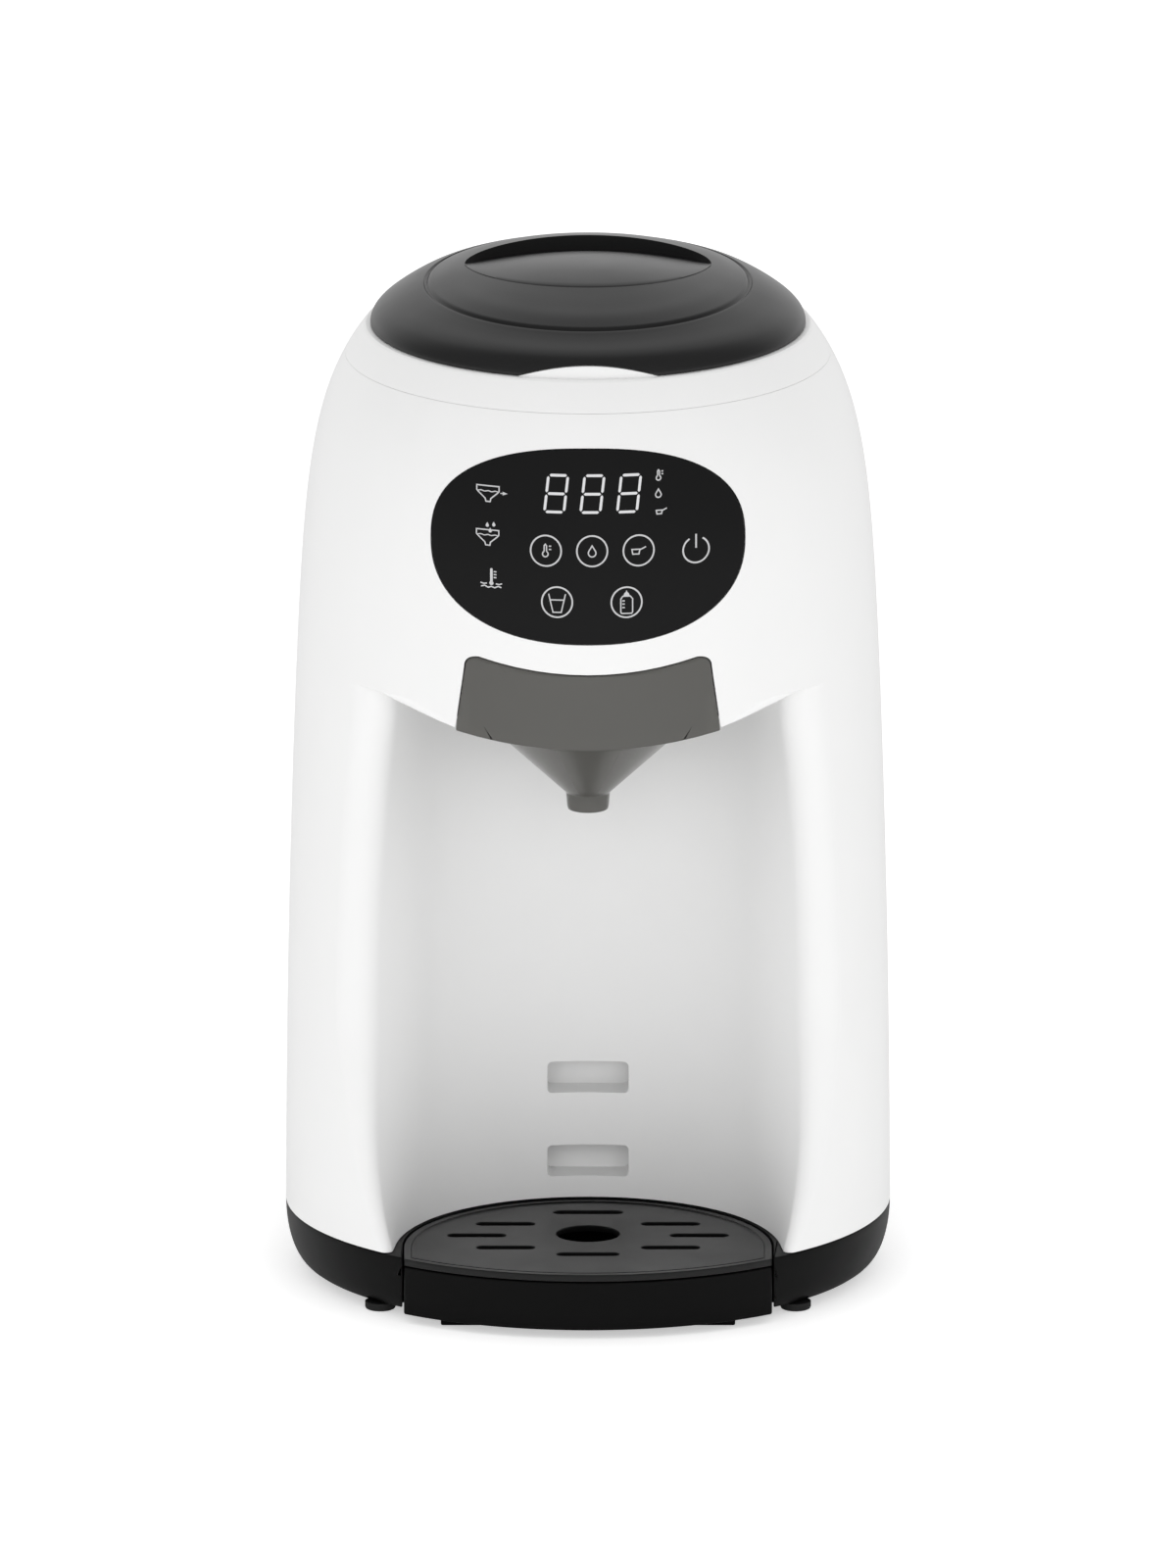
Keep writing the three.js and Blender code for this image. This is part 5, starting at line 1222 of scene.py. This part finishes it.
class MAKER_OT_panel(bpy.types.Operator):
    """Gloss black touch panel with its figures, key rings and plain marks"""
    bl_idname = "maker.panel"
    bl_label = "Touch panel"

    def execute(self, context):
        band = cut(tower("panel_skin", 230, 318, -0.2), tower("panel_back", 228, 319, 1.6))
        glass = overlap(upright("panel_face", oval_outline(), -FAR, INNER), band)
        round_edges(glass, 0.15)
        dress(glass, "panel_black", "root", ["panel_glass"])
        drawing("panel_figures", draw_digits, "figure_ink")
        drawing("panel_symbols", draw_symbols, "panel_ink")
        bm = bmesh.new()
        stroke(bm, ring_path(0, 0, 5.19), mm(sizes("panel").stroke) * 1.3, closed=True)
        ring = centred(piece_from("key_ring", bm))
        keys = [(x, 0, z) for x, z in (*ROUND_KEYS, GLASS_KEY, BOTTLE_KEY)]
        rings = onto_panel(copies("key_rings", ring, keys, "panel_ink"))
        dress(rings, "panel_ink", "root")
        return {"FINISHED"}


# Pieces inside

INSIDE = (  # a finish and the nodes that get it
    ("circuit_green", ("panel_board", "control_board")),
    ("display_dark", ("display_module",)),
    ("body_white", ("powder_deck", "funnel_guide")),
    ("box_plastic", ("powder_box",)),
    ("pale_nylon", ("dosing_wheel", "stirrer", "drive_gear", "drive_coupling", "tank_valve")),
    ("seal_silicone", ("lid_seal", "dock_seal", "water_nozzle", "suction_hose", "cross_hose",
                       "hot_hose")),
    ("brushed_steel", ("motor_pinion", "motor_bracket", "drive_motor", "heater")),
    ("display_dark", ("pump",)),
    ("base_black", ("tank_dock",)),
)
# width of the rounding on the edges of the pieces that show when the machine is opened
SOFTENED = {"powder_box": 0.35, "stirrer": 0.5, "dosing_wheel": 0.3, "tank_dock": 0.4, "lid_seal": 0.3,
            "panel_board": 0.2, "control_board": 0.2, "display_module": 0.2, "pump": 0.4, "heater": 0.4}


class MAKER_OT_inside(bpy.types.Operator):
    """Pieces inside, as smoothly shaded copies of the frame's own shapes"""
    bl_idname = "maker.inside"
    bl_label = "Pieces inside"

    def execute(self, context):
        record = frame["record"]
        bodies = {node: body for body, held in record["behaviour"]["bodies"].items() for node in held}
        for material, nodes in INSIDE:
            for name in nodes:
                bm = bmesh.new()
                bm.from_mesh(frame["nodes"][name].data)
                made = piece_from(name + "_shown", bm)
                if name in SOFTENED:
                    round_edges(made, SOFTENED[name])
                dress(made, material, bodies.get(name, "root"), [name])
        return {"FINISHED"}


# Stage

LAMPS = (  # name, place, aim, width in millimetres and watts
    ("lamp_over", (0, -100, 1500), (0, 0, 200), 1400, 0.5),
    ("lamp_left", (-1500, -700, 700), (0, 0, 180), 1100, 0.5),
    ("lamp_right", (1500, -700, 700), (0, 0, 180), 1100, 0.5),
    ("lamp_front", (0, -2200, 500), (0, 0, 150), 2000, 14),
)
FRAME_HEIGHT = 0.5324  # metres that the camera sees from top to bottom
CAMERA_RISE = 15  # degrees above level, as in the photograph
AIM_Z = 167.9


class MAKER_OT_stage(bpy.types.Operator):
    """Pale floor, soft lamps and the camera at the photograph's angle"""
    bl_idname = "maker.stage"
    bl_label = "Stage"

    def execute(self, context):
        scene = context.scene
        floor = block("floor", -2400, 2400, -2400, 2400, -20, 0)
        floor.data.materials.append(floor_finish())
        scene.world = studio_world()
        for place in LAMPS:
            lamp(*place)
        lens = bpy.data.cameras.new("view")
        lens.type, lens.ortho_scale = "ORTHO", FRAME_HEIGHT
        camera = bpy.data.objects.new("view", lens)
        scene.collection.objects.link(camera)
        rise = math.radians(CAMERA_RISE)
        aim, back = row(0, 0, AIM_Z), Vector((0, -math.cos(rise), math.sin(rise)))
        camera.location = aim + 2 * back
        camera.rotation_euler = (math.pi / 2 - rise, 0, 0)
        scene.camera = camera
        scene.view_settings.view_transform = "Standard"
        return {"FINISHED"}


def studio_world():
    """Even white light, with a dark room behind the camera that only gloss shows."""
    world = bpy.data.worlds.new("studio")
    world.use_nodes = True
    tree = world.node_tree
    way = add_node(tree, "ShaderNodeTexCoord").outputs["Generated"]
    depth = add_node(tree, "ShaderNodeSeparateXYZ", _0=way).outputs["Y"]
    rays = add_node(tree, "ShaderNodeLightPath").outputs
    lit = mix(tree, rays["Is Glossy Ray"], spread(tree, depth, 0.6, 1.05, -1, 1),
              spread(tree, depth, 0.05, 1, 0.1, 0.85, "SMOOTHSTEP"))
    feed(tree.nodes["Background"], Color=(1, 1, 1, 1), Strength=mix(tree, rays["Is Camera Ray"], lit, 1))
    return world


def lamp(name, at, aim, width, power):
    light = bpy.data.lights.new(name, "AREA")
    light.shape, light.size, light.energy = "SQUARE", width * MM, power
    made = bpy.data.objects.new(name, light)
    bpy.context.scene.collection.objects.link(made)
    made.visible_glossy = False
    made.location = row(*at)
    made.rotation_euler = (row(*aim) - row(*at)).to_track_quat("-Z", "Y").to_euler()
    return made


def floor_finish():
    """White to the camera and through clear plastic, with the object's shadow kept."""
    made = bpy.data.materials.new("floor_white")
    made.use_nodes = True
    tree = made.node_tree
    tree.nodes.remove(tree.nodes["Principled BSDF"])
    rays = add_node(tree, "ShaderNodeLightPath").outputs
    unseen = maths(tree, "ADD", rays["Is Transmission Ray"], rays["Is Diffuse Ray"])
    shown = maths(tree, "ADD", rays["Is Camera Ray"], unseen, clamp=True)
    matt = add_node(tree, "ShaderNodeBsdfDiffuse", Color=(0.8, 0.8, 0.8, 1))
    glow = add_node(tree, "ShaderNodeEmission", Strength=maths(tree, "MULTIPLY", shown, 0.5))
    both = add_node(tree, "ShaderNodeAddShader", _0=matt.outputs[0], _1=glow.outputs[0])
    feed(tree.nodes["Material Output"], Surface=both.outputs[0])
    return made


# Add-on

GROUPS = {"body": BodySizes, "lid": LidSizes, "bay": BaySizes, "tray": TraySizes,
          "panel": PanelSizes, "finishes": Finishes}
STEPS = (MAKER_OT_stage, MAKER_OT_housings, MAKER_OT_top_ring, MAKER_OT_lid, MAKER_OT_base,
         MAKER_OT_underside, MAKER_OT_tray_bowl, MAKER_OT_tray_grate, MAKER_OT_funnel,
         MAKER_OT_panel, MAKER_OT_tank, MAKER_OT_inside)


class MAKER_PT_sidebar(bpy.types.Panel):
    """Steps that build the formula maker, in order"""
    bl_idname = "MAKER_PT_sidebar"
    bl_label = "Baby formula maker"
    bl_space_type = "VIEW_3D"
    bl_region_type = "UI"
    bl_category = "Formula maker"

    def draw(self, context):
        for step in STEPS:
            self.layout.operator(step.bl_idname)


def register():
    for label, group in GROUPS.items():
        bpy.utils.register_class(group)
        setattr(bpy.types.Scene, "maker_" + label, bpy.props.PointerProperty(type=group))
    for step in (*STEPS, MAKER_PT_sidebar):
        bpy.utils.register_class(step)


def unregister():
    for step in (MAKER_PT_sidebar, *STEPS[::-1]):
        bpy.utils.unregister_class(step)
    for label, group in GROUPS.items():
        delattr(bpy.types.Scene, "maker_" + label)
        bpy.utils.unregister_class(group)


def main():
    register()
    for step in STEPS:
        group, name = step.bl_idname.split(".")
        getattr(getattr(bpy.ops, group), name)()


if __name__ == "__main__":
    main()
